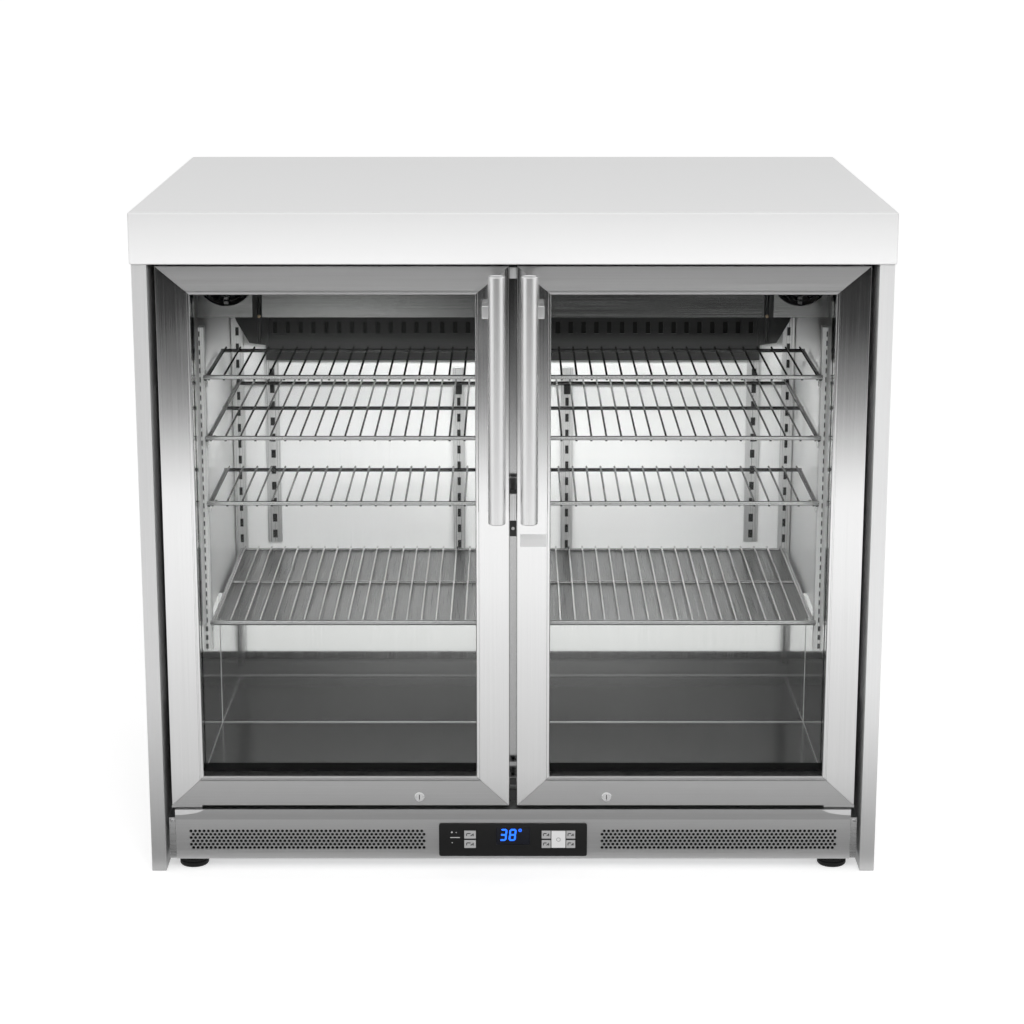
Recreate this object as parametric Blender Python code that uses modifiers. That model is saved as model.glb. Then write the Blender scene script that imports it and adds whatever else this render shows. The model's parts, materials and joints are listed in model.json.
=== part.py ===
"""Two-door glass-front undercounter refrigerator under a worktop with side panels.

Metres, +Z up, +X to the right, +Y to the back. The origin is on the floor, under the centre of the
whole object. Depths are measured back from the front edges of the side panels.
"""

import math

import bmesh
import bpy
from mathutils import Matrix, Vector

# Clearances
FIT_GAP = 0.0003
RUN_GAP = 0.0004

# Worktop and side panels
WORKTOP_WIDTH = 1.000
WORKTOP_DEPTH = 0.700
WORKTOP_HEIGHT = 0.910
SLAB_THICKNESS = 0.020
APRON_HEIGHT = 0.068
APRON_WALL = 0.018
APRON_LEAD = 0.004
PANEL_THICKNESS = 0.020
PANEL_INSET = 0.002
PANEL_REAR_INSET = 0.010

# Doors
DOOR_SIDE_GAP = 0.0093
DOOR_CENTRE_GAP = 0.0104
DOOR_TOP_GAP = 0.0037
DOOR_BOTTOM = 0.0925
DOOR_SETBACK = 0.008
DOOR_THICKNESS = 0.042
STILE_WIDTH = 0.045
TOP_RAIL = 0.038
BOTTOM_RAIL = 0.042
BEAD_WIDTH = 0.0065
BEAD_DEPTH = 0.003
FRONT_LIP = 0.006
GLASS_THICKNESS = 0.004
GLASS_BITE = 0.010
SPACER_THICKNESS = 0.012
SPACER_WIDTH = 0.008
GASKET_WIDTH = 0.014
GASKET_THICKNESS = 0.0094
GASKET_EDGE = 0.004

# Hinges
PIVOT_FROM_EDGE = 0.011
PIVOT_FROM_FRONT = 0.012
PIN_RADIUS = 0.0035
PIN_BITE = 0.018
LUG_THICKNESS = 0.004
LUG_HALF_WIDTH = 0.012
LUG_NOSE = 0.0055
BRACKET_THICKNESS = 0.0035
BRACKET_INWARD = 0.030
BRACKET_NOSE = 0.004
BRACKET_LEG = 0.045
BRACKET_LEG_THICKNESS = 0.003

# Handles and locks
HANDLE_RADIUS = 0.0115
HANDLE_STANDOFF = 0.045
HANDLE_FROM_EDGE = 0.0162
HANDLE_LENGTH = 0.330
HANDLE_TOP_DROP = 0.0083
HANDLE_UPPER_POST = 0.048
HANDLE_LOWER_POST = 0.030
POST_HEIGHT = 0.017
POST_OUTREACH = 0.0195
POST_HALF_WIDTH = 0.006
LOCK_RADIUS = 0.007
LOCK_LENGTH = 0.020
LOCK_PROUD = 0.0015
LOCK_FROM_CENTRE = 0.1285
LOCK_ABOVE_EDGE = 0.0125

# Cabinet
CABINET_SIDE_GAP = 0.008
CABINET_TOP_GAP = 0.010
CABINET_BOTTOM = 0.088
CABINET_REAR_SPACE = 0.106
FRAME_THICKNESS = 0.004
FRAME_OPENING_DROP = 0.0203
MULLION_FACE_HALF = 0.025
MULLION_HALF = 0.018
MULLION_DEPTH = 0.075
SHELL_WALL = 0.002
LINER_WALL = 0.002
SIDE_FOAM = 0.0344
FLOOR_FOAM = 0.0204
CEILING_FOAM = 0.0254
BACK_FOAM = 0.0414
PAN_THICKNESS = 0.003
PAN_WALL_DEPTH = 0.298
PAN_WALL_TOP_GAP = 0.004

# Base, grille and feet
CHASSIS_SHEET = 0.002
CHASSIS_FLOOR = 0.019
CHASSIS_REAR_GAP = 0.006
CHASSIS_SIDE_INSET = 0.004
FLANGE_WIDTH = 0.0075
FLANGE_SETBACK = 0.004
FLANGE_HEIGHT = 0.060
GRILLE_SHEET = 0.0015
GRILLE_BOTTOM = 0.015
GRILLE_HEIGHT = 0.0725
GRILLE_FOLD = 0.0145
GRILLE_FOLD_RAKE = 0.0015
GRILLE_TOP_FLANGE = 0.040
GRILLE_END_GAP = 0.001
FOOT_RADIUS = 0.020
FOOT_HEIGHT = 0.016
FOOT_EDGE = 0.002
FOOT_STEM_RADIUS = 0.005
FOOT_STEM_TOP = 0.045
FOOT_FROM_SIDE = 0.027
FOOT_FRONT = 0.032
FOOT_FROM_BACK = 0.035

# Control panel
CONTROL_WIDTH = 0.204
CONTROL_HEIGHT = 0.0474
CONTROL_BOTTOM = 0.0195
CONTROL_FACE = 0.0022
CONTROL_CORNER = 0.003
CONTROL_BODY_INSET = 0.006
CONTROL_BODY_DEPTH = 0.018
KEY_TRAVEL = 0.001
KEY_PROUD = 0.0014
KEY_LENGTH = 0.006
KEY_ROW_PITCH = 0.0138
KEY_ROW_CENTRE = 0.0443
KEY_HEIGHT = 0.0112
LEFT_KEY_X = -0.0592
LEFT_KEY_WIDTH = 0.016
SMALL_KEY_WIDTH = 0.0124
POWER_KEY_X = 0.0626
POWER_KEY_WIDTH = 0.0194
POWER_KEY_HEIGHT = 0.0246
KEY_GAP = 0.0010
WINDOW_WIDTH = 0.046
WINDOW_HEIGHT = 0.024
WINDOW_DEPTH = 0.0012
WINDOW_CENTRE = 0.0485

# Pilasters and shelves
PILASTER_WIDTH = 0.018
PILASTER_DEPTH = 0.008
SLOT_WIDTH = 0.005
SLOT_HEIGHT = 0.013
SLOT_PITCH = 0.025
SIDE_PILASTER_DEPTH = 0.150
SIDE_PILASTER_BELOW = 0.050
PILASTER_TOP_GAP = 0.015
CORNER_PILASTER_GAP = 0.002
CENTRE_PILASTER_X = 0.083
CENTRE_PILASTER_BELOW = 0.100
SHELF_FRONT = 0.118
HALF_SHELF_BACK = 0.343
SHELF_MIDDLE = 0.330
SHELF_1_DROP = 0.077
SHELF_2_DROP = 0.162
SHELF_3_DROP = 0.254
SHELF_4_DROP = 0.425
SHELF_IS_DEEP = (False, True, False, True)
DECKED_SHELF = 4
SHELF_THICKNESS = 0.006
RAIL_WIDTH = 0.006
WIRE_WIDTH = 0.004
WIRE_PITCH = 0.0205
DECK_THICKNESS = 0.002

# Evaporator
COVER_SHEET = 0.002
COVER_FRONT = 0.135
COVER_HEIGHT = 0.100
COVER_SKIRT_GAP = 0.024
COVER_SKIRT_DROP = 0.130
COVER_SKIRT_INSET = 0.056
COVER_SLOT_WIDTH = 0.007
COVER_SLOT_HEIGHT = 0.018
COVER_SLOT_PITCH = 0.0195
COVER_SLOT_DROP = 0.080
FAN_MOUTH_SIDE_GAP = 0.003
FAN_MOUTH_TOP_GAP = 0.008
EVAPORATOR_FAN_HOLE = 0.038
FAN_TIP_GAP = 0.004
FAN_HUB_RADIUS = 0.011
FAN_HUB_LENGTH = 0.012
FAN_SHAFT_RADIUS = 0.0025
FAN_SHAFT_LENGTH = 0.008
FAN_BLADES = 5
FAN_BLADE_WIDTH = 0.016
FAN_BLADE_THICKNESS = 0.0015
FAN_BLADE_PITCH = 32.0
BOSS_RADIUS = 0.007
STRUT_WIDTH = 0.006
COIL_FAN_GAP = 0.022
COIL_FRONT_GAP = 0.055
COIL_BACK_GAP = 0.030
COIL_BASE = 0.006
COIL_TOP_GAP = 0.004
FIN_THICKNESS = 0.006
FIN_PITCH = 0.030

# Compressor and condenser
COMPRESSOR_RADIUS = 0.044
COMPRESSOR_LENGTH = 0.210
COMPRESSOR_SIDE_GAP = 0.161
COMPRESSOR_REAR_GAP = 0.048
COMPRESSOR_LEG = 0.012
COMPRESSOR_LEG_SPAN = 0.120
COMPRESSOR_LEG_WIDTH = 0.030
COMPRESSOR_LEG_REACH = 0.036
CONDENSER_SIDE_GAP = 0.036
CONDENSER_WIDTH = 0.280
CONDENSER_FRONT = 0.085
CONDENSER_DEPTH = 0.050
CONDENSER_HEIGHT = 0.060
CONDENSER_FAN_RADIUS = 0.026
CONDENSER_FAN_GAP = 0.010
FAN_POST_WIDTH = 0.016
FAN_POST_THICKNESS = 0.004

ROUND_SIDES = 24
DOME_STEPS = 5
SMALL_SIDES = 16

# Places worked out from the sizes above
object_rear = WORKTOP_DEPTH - APRON_LEAD
handle_front = DOOR_SETBACK - HANDLE_STANDOFF
PANEL_FRONT_Y = -(object_rear + handle_front) / 2

panel_outer = WORKTOP_WIDTH / 2 - PANEL_INSET
panel_inner = panel_outer - PANEL_THICKNESS
slab_bottom = WORKTOP_HEIGHT - SLAB_THICKNESS
apron_bottom = WORKTOP_HEIGHT - APRON_HEIGHT
apron_back = APRON_WALL - APRON_LEAD

door_outer = panel_inner - DOOR_SIDE_GAP
door_inner = DOOR_CENTRE_GAP / 2
door_top = apron_bottom - DOOR_TOP_GAP
door_back = DOOR_SETBACK + DOOR_THICKNESS
sight_inner = door_inner + STILE_WIDTH
sight_outer = door_outer - STILE_WIDTH
sight_bottom = DOOR_BOTTOM + BOTTOM_RAIL
sight_top = door_top - TOP_RAIL
glass_front = DOOR_SETBACK + FRONT_LIP + FIT_GAP
spacer_front = glass_front + GLASS_THICKNESS + FIT_GAP
rear_glass_front = spacer_front + SPACER_THICKNESS + FIT_GAP
groove_back = rear_glass_front + GLASS_THICKNESS + FIT_GAP
gasket_front = door_back + FIT_GAP
gasket_back = gasket_front + GASKET_THICKNESS

pivot_x = door_outer - PIVOT_FROM_EDGE
pivot_depth = DOOR_SETBACK + PIVOT_FROM_FRONT

cabinet_half = panel_inner - CABINET_SIDE_GAP
cabinet_top = slab_bottom - CABINET_TOP_GAP
frame_front = gasket_back + FIT_GAP
frame_back = frame_front + FRAME_THICKNESS
body_front = frame_back + FIT_GAP
foam_half = cabinet_half - SHELL_WALL - FIT_GAP
liner_outer_half = foam_half - SIDE_FOAM - FIT_GAP
liner_half = liner_outer_half - LINER_WALL
foam_bottom = CABINET_BOTTOM + SHELL_WALL + FIT_GAP
liner_outer_bottom = foam_bottom + FLOOR_FOAM + FIT_GAP
liner_floor = liner_outer_bottom + LINER_WALL
foam_top = cabinet_top - SHELL_WALL - FIT_GAP
liner_outer_top = foam_top - CEILING_FOAM - FIT_GAP
liner_ceiling = liner_outer_top - LINER_WALL
cabinet_back = object_rear - CABINET_REAR_SPACE
foam_back = cabinet_back - SHELL_WALL - FIT_GAP
liner_outer_back = foam_back - BACK_FOAM - FIT_GAP
liner_back = liner_outer_back - LINER_WALL
pan_bottom = liner_floor + FIT_GAP
pan_top = pan_bottom + PAN_THICKNESS
mullion_back = frame_front + MULLION_DEPTH
opening_top = door_top - FRAME_OPENING_DROP

grille_front = DOOR_SETBACK
grille_back = grille_front + GRILLE_SHEET
grille_top = GRILLE_BOTTOM + GRILLE_HEIGHT
grille_half = cabinet_half - CHASSIS_SIDE_INSET - GRILLE_END_GAP
chassis_half = cabinet_half - CHASSIS_SIDE_INSET
chassis_top = CHASSIS_FLOOR + CHASSIS_SHEET
bracket_bottom = grille_top + 2 * FIT_GAP
bracket_top = bracket_bottom + BRACKET_THICKNESS
bracket_leg_front = grille_back + GRILLE_TOP_FLANGE + FIT_GAP
bracket_leg_back = bracket_leg_front + BRACKET_LEG_THICKNESS
foot_x = cabinet_half - FOOT_FROM_SIDE
foot_rear = cabinet_back - FOOT_FROM_BACK
chassis_back = object_rear - CHASSIS_REAR_GAP
compressor_x = chassis_half - COMPRESSOR_SIDE_GAP - COMPRESSOR_LENGTH / 2
compressor_depth = chassis_back - COMPRESSOR_REAR_GAP
condenser_x = -(chassis_half - CONDENSER_SIDE_GAP - CONDENSER_WIDTH / 2)

pilaster_face = liner_half - FIT_GAP - PILASTER_DEPTH
rear_pilaster_face = liner_back - FIT_GAP - PILASTER_DEPTH
shelf_inner = MULLION_HALF + FIT_GAP
shelf_outer = pilaster_face - FIT_GAP
shelf_back = rear_pilaster_face - FIT_GAP

cover_bottom = liner_ceiling - COVER_HEIGHT
cover_skirt_depth = liner_back - COVER_SKIRT_GAP
cover_skirt_bottom = cover_bottom - COVER_SKIRT_DROP
cover_slot_centre = cover_bottom - COVER_SLOT_DROP
fan_x = liner_half - FAN_MOUTH_SIDE_GAP - EVAPORATOR_FAN_HOLE
evaporator_fan_z = liner_ceiling - FAN_MOUTH_TOP_GAP - EVAPORATOR_FAN_HOLE
coil_half_width = fan_x - EVAPORATOR_FAN_HOLE - COIL_FAN_GAP
coil_front = COVER_FRONT + COIL_FRONT_GAP
coil_back = cover_skirt_depth - COIL_BACK_GAP
shelf_drops = (SHELF_1_DROP, SHELF_2_DROP, SHELF_3_DROP, SHELF_4_DROP)
shelf_levels = [cover_bottom - drop for drop in shelf_drops]
pan_wall_top = shelf_levels[-1] - SHELF_THICKNESS - PAN_WALL_TOP_GAP
side_pilaster_bottom = shelf_levels[-1] - SIDE_PILASTER_BELOW
side_pilaster_top = cover_bottom - PILASTER_TOP_GAP
rear_pilaster_top = cover_skirt_bottom - PILASTER_TOP_GAP
centre_pilaster_bottom = shelf_levels[-1] - CENTRE_PILASTER_BELOW

UPRIGHT = Matrix.Rotation(math.pi / 2, 4, "X")
SIDEWAYS = Matrix(((0, 0, 1, 0), (1, 0, 0, 0), (0, 1, 0, 0), (0, 0, 0, 1)))
ALONG_Y = Matrix.Rotation(-math.pi / 2, 4, "X")
ALONG_X = Matrix.Rotation(math.pi / 2, 4, "Y")
ALONG_Z = Matrix.Identity(4)

for old_object in list(bpy.data.objects):
    bpy.data.objects.remove(old_object, do_unlink=True)

parts = bpy.data.collections.new("undercounter_refrigerator")
cutters = bpy.data.collections.new("cutters")
for group in (parts, cutters):
    bpy.context.scene.collection.children.link(group)


def material(name, colour, roughness, metallic=0.0, alpha=1.0):
    made = bpy.data.materials.new(name)
    made.use_nodes = True
    shader = made.node_tree.nodes["Principled BSDF"]
    shader.inputs["Base Color"].default_value = (*colour, 1.0)
    shader.inputs["Roughness"].default_value = roughness
    shader.inputs["Metallic"].default_value = metallic
    shader.inputs["Alpha"].default_value = alpha
    return made


white_paint = material("white_worktop", (0.80, 0.80, 0.80), 0.35)
brushed_steel = material("brushed_steel", (0.60, 0.60, 0.60), 0.32, 1.0)
polished_wire = material("polished_wire", (0.70, 0.70, 0.71), 0.18, 1.0)
liner_steel = material("liner_steel", (0.72, 0.72, 0.72), 0.30, 1.0)
pan_steel = material("pan_steel", (0.22, 0.22, 0.22), 0.30, 1.0)
dark_sheet = material("dark_sheet", (0.10, 0.10, 0.10), 0.45, 0.6)
galvanised = material("galvanised_sheet", (0.45, 0.46, 0.46), 0.45, 1.0)
foam = material("foam", (0.80, 0.72, 0.48), 0.90)
black_plastic = material("black_plastic", (0.015, 0.015, 0.016), 0.35)
black_rubber = material("black_rubber", (0.02, 0.02, 0.02), 0.75)
grey_key = material("grey_key", (0.62, 0.62, 0.62), 0.45)
white_key = material("white_key", (0.85, 0.85, 0.85), 0.40)
display_black = material("display_black", (0.005, 0.006, 0.012), 0.10)
clear_glass = material("clear_glass", (0.92, 0.95, 0.94), 0.02, 0.0, 0.25)
coil_metal = material("coil_metal", (0.70, 0.70, 0.70), 0.40, 1.0)
black_paint = material("black_paint", (0.02, 0.02, 0.02), 0.50)


def at(depth):
    """World Y of a depth measured back from the front edges of the side panels."""
    return PANEL_FRONT_Y + depth


def sided(low_x, high_x, side):
    """The X span of a piece on one side: side is -1 on the left and 1 on the right."""
    return (low_x, high_x) if side > 0 else (-high_x, -low_x)


def place(name, data, finish, origin=(0, 0, 0), pivot=None):
    """Adds a part, or a cutter where finish is None, under an empty on its joint's axis if it has one."""
    made = bpy.data.objects.new(name, data)
    made.location = origin
    if finish is None:
        cutters.objects.link(made)
        made.hide_render = True
        made.display_type = "WIRE"
        return made
    parts.objects.link(made)
    data.materials.append(finish)
    if pivot is not None:
        made.parent = pivot
        made.matrix_parent_inverse = Matrix.Translation(pivot.location).inverted()
    return made


def pivot_empty(name, location):
    made = bpy.data.objects.new(name, None)
    made.location = location
    parts.objects.link(made)
    return made


def mesh_from(name, shape):
    mesh = bpy.data.meshes.new(name)
    shape.to_mesh(mesh)
    shape.free()
    return mesh


def box_mesh(name, span_x, span_depth, span_z, origin=(0, 0, 0)):
    low = Vector((span_x[0], at(span_depth[0]), span_z[0]))
    high = Vector((span_x[1], at(span_depth[1]), span_z[1]))
    fit = Matrix.Translation((low + high) / 2 - Vector(origin)) @ Matrix.Diagonal((*(high - low), 1))
    shape = bmesh.new()
    bmesh.ops.create_cube(shape, size=1.0)
    bmesh.ops.transform(shape, matrix=fit, verts=shape.verts)
    return mesh_from(name, shape)


def box(name, span_x, span_depth, span_z, finish=None, origin=(0, 0, 0), pivot=None):
    return place(name, box_mesh(name, span_x, span_depth, span_z, origin), finish, origin, pivot)


def rod(name, base, length, radius, turn, finish=None, sides=SMALL_SIDES, origin=(0, 0, 0), pivot=None):
    """A round bar from base, running along the turned +Z."""
    shape = bmesh.new()
    bmesh.ops.create_cone(shape, cap_ends=True, segments=sides, radius1=radius, radius2=radius, depth=length)
    fit = Matrix.Translation(Vector(base) - Vector(origin)) @ turn @ Matrix.Translation((0, 0, length / 2))
    bmesh.ops.transform(shape, matrix=fit, verts=shape.verts)
    mesh = mesh_from(name, shape)
    smooth(mesh)
    return place(name, mesh, finish, origin, pivot)


def smooth(mesh):
    mesh.shade_smooth()
    mesh.set_sharp_from_angle(angle=math.radians(35))


def boolean(target, tool, operation):
    step = target.modifiers.new(tool.name, "BOOLEAN")
    step.operation = operation
    step.solver = "EXACT"
    step.object = tool


def cut(target, tool):
    boolean(target, tool, "DIFFERENCE")


def fuse(target, tool):
    boolean(target, tool, "UNION")


def outline_mesh(name, outline, thickness, turn):
    """A flat plate from an outline, drawn in XY and then turned and placed."""
    drawing = bpy.data.curves.new(name, "CURVE")
    drawing.dimensions = "2D"
    drawing.fill_mode = "BOTH"
    drawing.extrude = thickness / 2
    spline = drawing.splines.new("POLY")
    spline.points.add(len(outline) - 1)
    spline.use_cyclic_u = True
    for point, (x, y) in zip(spline.points, outline):
        point.co = (x, y, 0, 1)
    holder = bpy.data.objects.new(name, drawing)
    bpy.context.scene.collection.objects.link(holder)
    graph = bpy.context.evaluated_depsgraph_get()
    mesh = bpy.data.meshes.new_from_object(holder.evaluated_get(graph))
    bpy.data.objects.remove(holder)
    shape = bmesh.new()
    shape.from_mesh(mesh)
    bmesh.ops.remove_doubles(shape, verts=shape.verts, dist=1e-6)
    bmesh.ops.recalc_face_normals(shape, faces=shape.faces)
    bmesh.ops.transform(shape, matrix=turn, verts=shape.verts)
    shape.to_mesh(mesh)
    shape.free()
    return mesh


def slots(name, holes, thickness, turn):
    """A cutter for a plate's rectangular holes: a block for each, reaching past both faces of the plate."""
    shape = bmesh.new()
    for low_x, low_y, high_x, high_y in holes:
        middle = Matrix.Translation(((low_x + high_x) / 2, (low_y + high_y) / 2, 0))
        size = Matrix.Diagonal((high_x - low_x, high_y - low_y, 2 * thickness, 1))
        bmesh.ops.create_cube(shape, size=1.0, matrix=turn @ middle @ size)
    return place(name, mesh_from(name, shape), None)


def rectangle(low_x, low_y, high_x, high_y):
    return [(low_x, low_y), (high_x, low_y), (high_x, high_y), (low_x, high_y)]


def rounded_rectangle(half_x, half_y, radius, steps=4):
    points = []
    for corner, (sign_x, sign_y) in enumerate(((1, 1), (-1, 1), (-1, -1), (1, -1))):
        for step in range(steps + 1):
            angle = math.radians(90 * corner + 90 * step / steps)
            centre_x = sign_x * (half_x - radius)
            centre_y = sign_y * (half_y - radius)
            points.append((centre_x + radius * math.cos(angle), centre_y + radius * math.sin(angle)))
    return points


def turned(name, profile, steps, finish, origin, turn=ALONG_Z):
    """A turned piece from (radius, height) points that run down its outer side."""
    mesh = bpy.data.meshes.new(name)
    shape = bmesh.new()
    corners = [shape.verts.new((radius, 0, height)) for radius, height in profile]
    for first, second in zip(corners, corners[1:]):
        shape.edges.new((first, second))
    shape.to_mesh(mesh)
    shape.free()
    made = place(name, mesh, finish, origin)
    made.rotation_euler = turn.to_euler()
    screw = made.modifiers.new("turn", "SCREW")
    screw.steps = steps
    screw.render_steps = steps
    screw.use_merge_vertices = True
    screw.merge_threshold = 0.00005
    screw.use_smooth_shade = True
    return made


def hollow_box(name, half_x, back, span_z, inner_half, inner_back, inner_z, finish):
    """A box that is open at the front, for a shell, its foam or its liner."""
    made = box(name, (-half_x, half_x), (body_front, back), span_z, finish)
    mouth = body_front - SHELL_WALL
    cut(made, box(name + "_hollow", (-inner_half, inner_half), (mouth, inner_back), inner_z))
    return made


def make_housing():
    half = WORKTOP_WIDTH / 2
    worktop = box(
        "worktop", (-half, half), (-APRON_LEAD, object_rear), (apron_bottom, WORKTOP_HEIGHT), white_paint
    )
    hollow_half = half - APRON_WALL
    hollow_depth = (apron_back, object_rear - APRON_WALL)
    below = apron_bottom - APRON_WALL
    cut(worktop, box("worktop_hollow", (-hollow_half, hollow_half), hollow_depth, (below, slab_bottom)))
    for side, word in ((-1, "left"), (1, "right")):
        span = sided(panel_inner, panel_outer, side)
        depth = (0, object_rear - PANEL_REAR_INSET)
        box("side_panel_" + word, span, depth, (0, apron_bottom - FIT_GAP), brushed_steel)


def make_cabinet():
    shell_z = (CABINET_BOTTOM, cabinet_top)
    foam_z = (foam_bottom, foam_top)
    liner_outer_z = (liner_outer_bottom, liner_outer_top)
    shell_hollow_z = (CABINET_BOTTOM + SHELL_WALL, cabinet_top - SHELL_WALL)
    foam_hollow_z = (liner_outer_bottom - FIT_GAP, liner_outer_top + FIT_GAP)
    hollow_box(
        "cabinet_shell", cabinet_half, cabinet_back, shell_z,
        cabinet_half - SHELL_WALL, cabinet_back - SHELL_WALL, shell_hollow_z, brushed_steel,
    )
    hollow_box(
        "insulation", foam_half, foam_back, foam_z,
        liner_outer_half + FIT_GAP, liner_outer_back + FIT_GAP, foam_hollow_z, foam,
    )
    hollow_box(
        "liner", liner_outer_half, liner_outer_back, liner_outer_z,
        liner_half, liner_back, (liner_floor, liner_ceiling), liner_steel,
    )
    make_face_frame()
    pan_half = liner_half - FIT_GAP
    wall_back = PAN_WALL_DEPTH + PAN_THICKNESS
    bend = [
        (at(body_front), pan_bottom),
        (at(wall_back), pan_bottom),
        (at(wall_back), pan_wall_top),
        (at(PAN_WALL_DEPTH), pan_wall_top),
        (at(PAN_WALL_DEPTH), pan_top),
        (at(body_front), pan_top),
    ]
    place("floor_pan", outline_mesh("floor_pan", bend, 2 * pan_half, SIDEWAYS), pan_steel)


def make_face_frame():
    """The ring round the two mouths, its centre mullion, and the lugs and pins of the top hinges."""
    width = (-cabinet_half, cabinet_half)
    ring = box("face_frame", width, (frame_front, frame_back), (CABINET_BOTTOM, cabinet_top), brushed_steel)
    past = FRAME_THICKNESS
    for side, word in ((-1, "left"), (1, "right")):
        mouth = sided(MULLION_FACE_HALF, liner_half, side)
        depth = (frame_front - past, frame_back + past)
        cut(ring, box("mouth_" + word, mouth, depth, (liner_floor, opening_top)))
    post_z = (pan_top + FIT_GAP, opening_top + MULLION_HALF)
    post_depth = (frame_front, mullion_back)
    fuse(ring, box("mullion_post", (-MULLION_HALF, MULLION_HALF), post_depth, post_z))
    for side, word in ((-1, "left"), (1, "right")):
        lug_z = apron_bottom + 2 * FIT_GAP
        span = (side * pivot_x - LUG_HALF_WIDTH, side * pivot_x + LUG_HALF_WIDTH)
        lug_depth = (pivot_depth - LUG_NOSE, frame_back)
        fuse(ring, box("top_lug_" + word, span, lug_depth, (lug_z, lug_z + LUG_THICKNESS)))
        pin_bottom = door_top - PIN_BITE
        pin_base = (side * pivot_x, at(pivot_depth), pin_bottom)
        pin_length = lug_z + LUG_THICKNESS / 2 - pin_bottom
        fuse(ring, rod("top_pin_" + word, pin_base, pin_length, PIN_RADIUS, ALONG_Z))


def make_base():
    chassis = box(
        "base_chassis", (-chassis_half, chassis_half), (grille_back + FIT_GAP, chassis_back),
        (CHASSIS_FLOOR, chassis_top), galvanised,
    )
    wall_front = bracket_leg_back + FIT_GAP
    wall_z = (CHASSIS_FLOOR, CABINET_BOTTOM - FIT_GAP)
    flange_front = grille_front + FLANGE_SETBACK
    flange_z = (GRILLE_BOTTOM, GRILLE_BOTTOM + FLANGE_HEIGHT)
    for side, word in ((-1, "left"), (1, "right")):
        wall = sided(chassis_half - CHASSIS_SHEET, chassis_half, side)
        fuse(chassis, box("chassis_wall_" + word, wall, (wall_front, cabinet_back), wall_z))
        flange = sided(chassis_half - CHASSIS_SHEET / 2, chassis_half + FLANGE_WIDTH, side)
        flange_depth = (flange_front, grille_back + GRILLE_TOP_FLANGE)
        fuse(chassis, box("chassis_flange_" + word, flange, flange_depth, flange_z))
    fan_y = condenser_fan_depth() + FAN_HUB_LENGTH
    boss_z = condenser_fan_height()
    post_x = (condenser_x - FAN_POST_WIDTH / 2, condenser_x + FAN_POST_WIDTH / 2)
    post_depth = (fan_y + RUN_GAP, fan_y + RUN_GAP + FAN_POST_THICKNESS)
    fuse(chassis, box("fan_post", post_x, post_depth, (CHASSIS_FLOOR, boss_z + BOSS_RADIUS)))
    hole_base = (condenser_x, at(fan_y), boss_z)
    cut(chassis, rod("fan_post_bore", hole_base, FAN_SHAFT_LENGTH, FAN_SHAFT_RADIUS + RUN_GAP, ALONG_Y))
    profile = (
        (0, FOOT_STEM_TOP),
        (FOOT_STEM_RADIUS, FOOT_STEM_TOP),
        (FOOT_STEM_RADIUS, FOOT_HEIGHT),
        (FOOT_RADIUS - FOOT_EDGE, FOOT_HEIGHT),
        (FOOT_RADIUS, FOOT_HEIGHT - FOOT_EDGE),
        (FOOT_RADIUS, FOOT_EDGE),
        (FOOT_RADIUS - FOOT_EDGE, 0),
        (0, 0),
    )
    for row, depth in (("front", FOOT_FRONT), ("rear", foot_rear)):
        for side, word in ((-1, "left"), (1, "right")):
            spot = (side * foot_x, at(depth), 0)
            turned(f"foot_{row}_{word}", profile, ROUND_SIDES, black_rubber, spot)
            bore_base = (spot[0], spot[1], CHASSIS_FLOOR - CHASSIS_SHEET)
            bore_radius = FOOT_STEM_RADIUS + RUN_GAP
            bore = rod(f"foot_bore_{row}_{word}", bore_base, 3 * CHASSIS_SHEET, bore_radius, ALONG_Z)
            cut(chassis, bore)


def make_grille():
    """The kick grille: a face, a slightly raked fold above it and a flange back over the base."""
    fold_z = grille_top - GRILLE_FOLD
    outline = [
        (grille_front, GRILLE_BOTTOM),
        (grille_back, GRILLE_BOTTOM),
        (grille_back, fold_z),
        (grille_back - GRILLE_FOLD_RAKE, grille_top - GRILLE_SHEET),
        (grille_back + GRILLE_TOP_FLANGE, grille_top - GRILLE_SHEET),
        (grille_back + GRILLE_TOP_FLANGE, grille_top),
        (grille_front - GRILLE_FOLD_RAKE, grille_top),
        (grille_front, fold_z),
    ]
    profile = [(at(depth), height) for depth, height in outline]
    mesh = outline_mesh("kick_grille", profile, 2 * grille_half, SIDEWAYS)
    grille = place("kick_grille", mesh, brushed_steel)
    body_half = CONTROL_WIDTH / 2 - CONTROL_BODY_INSET + FIT_GAP
    body_z = control_body_z()
    window_z = (body_z[0] - FIT_GAP, body_z[1] + FIT_GAP)
    depth = (grille_front - GRILLE_SHEET, grille_back + GRILLE_SHEET)
    cut(grille, box("control_window", (-body_half, body_half), depth, window_z))


def control_body_z():
    return CONTROL_BOTTOM + CONTROL_BODY_INSET, CONTROL_BOTTOM + CONTROL_HEIGHT - CONTROL_BODY_INSET


def key_layout():
    """Each key's name, centre X and Z, width, height and finish."""
    upper = KEY_ROW_CENTRE + KEY_ROW_PITCH / 2
    lower = KEY_ROW_CENTRE - KEY_ROW_PITCH / 2
    small_offset = POWER_KEY_WIDTH / 2 + KEY_GAP + SMALL_KEY_WIDTH / 2
    keys = [("button_power", POWER_KEY_X, KEY_ROW_CENTRE, POWER_KEY_WIDTH, POWER_KEY_HEIGHT, white_key)]
    for word, height in (("upper", upper), ("lower", lower)):
        keys.append((f"button_left_{word}", LEFT_KEY_X, height, LEFT_KEY_WIDTH, KEY_HEIGHT, grey_key))
        for place_word, offset in (("inner", -small_offset), ("outer", small_offset)):
            name = f"button_right_{word}_{place_word}"
            keys.append((name, POWER_KEY_X + offset, height, SMALL_KEY_WIDTH, KEY_HEIGHT, grey_key))
    return keys


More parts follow.
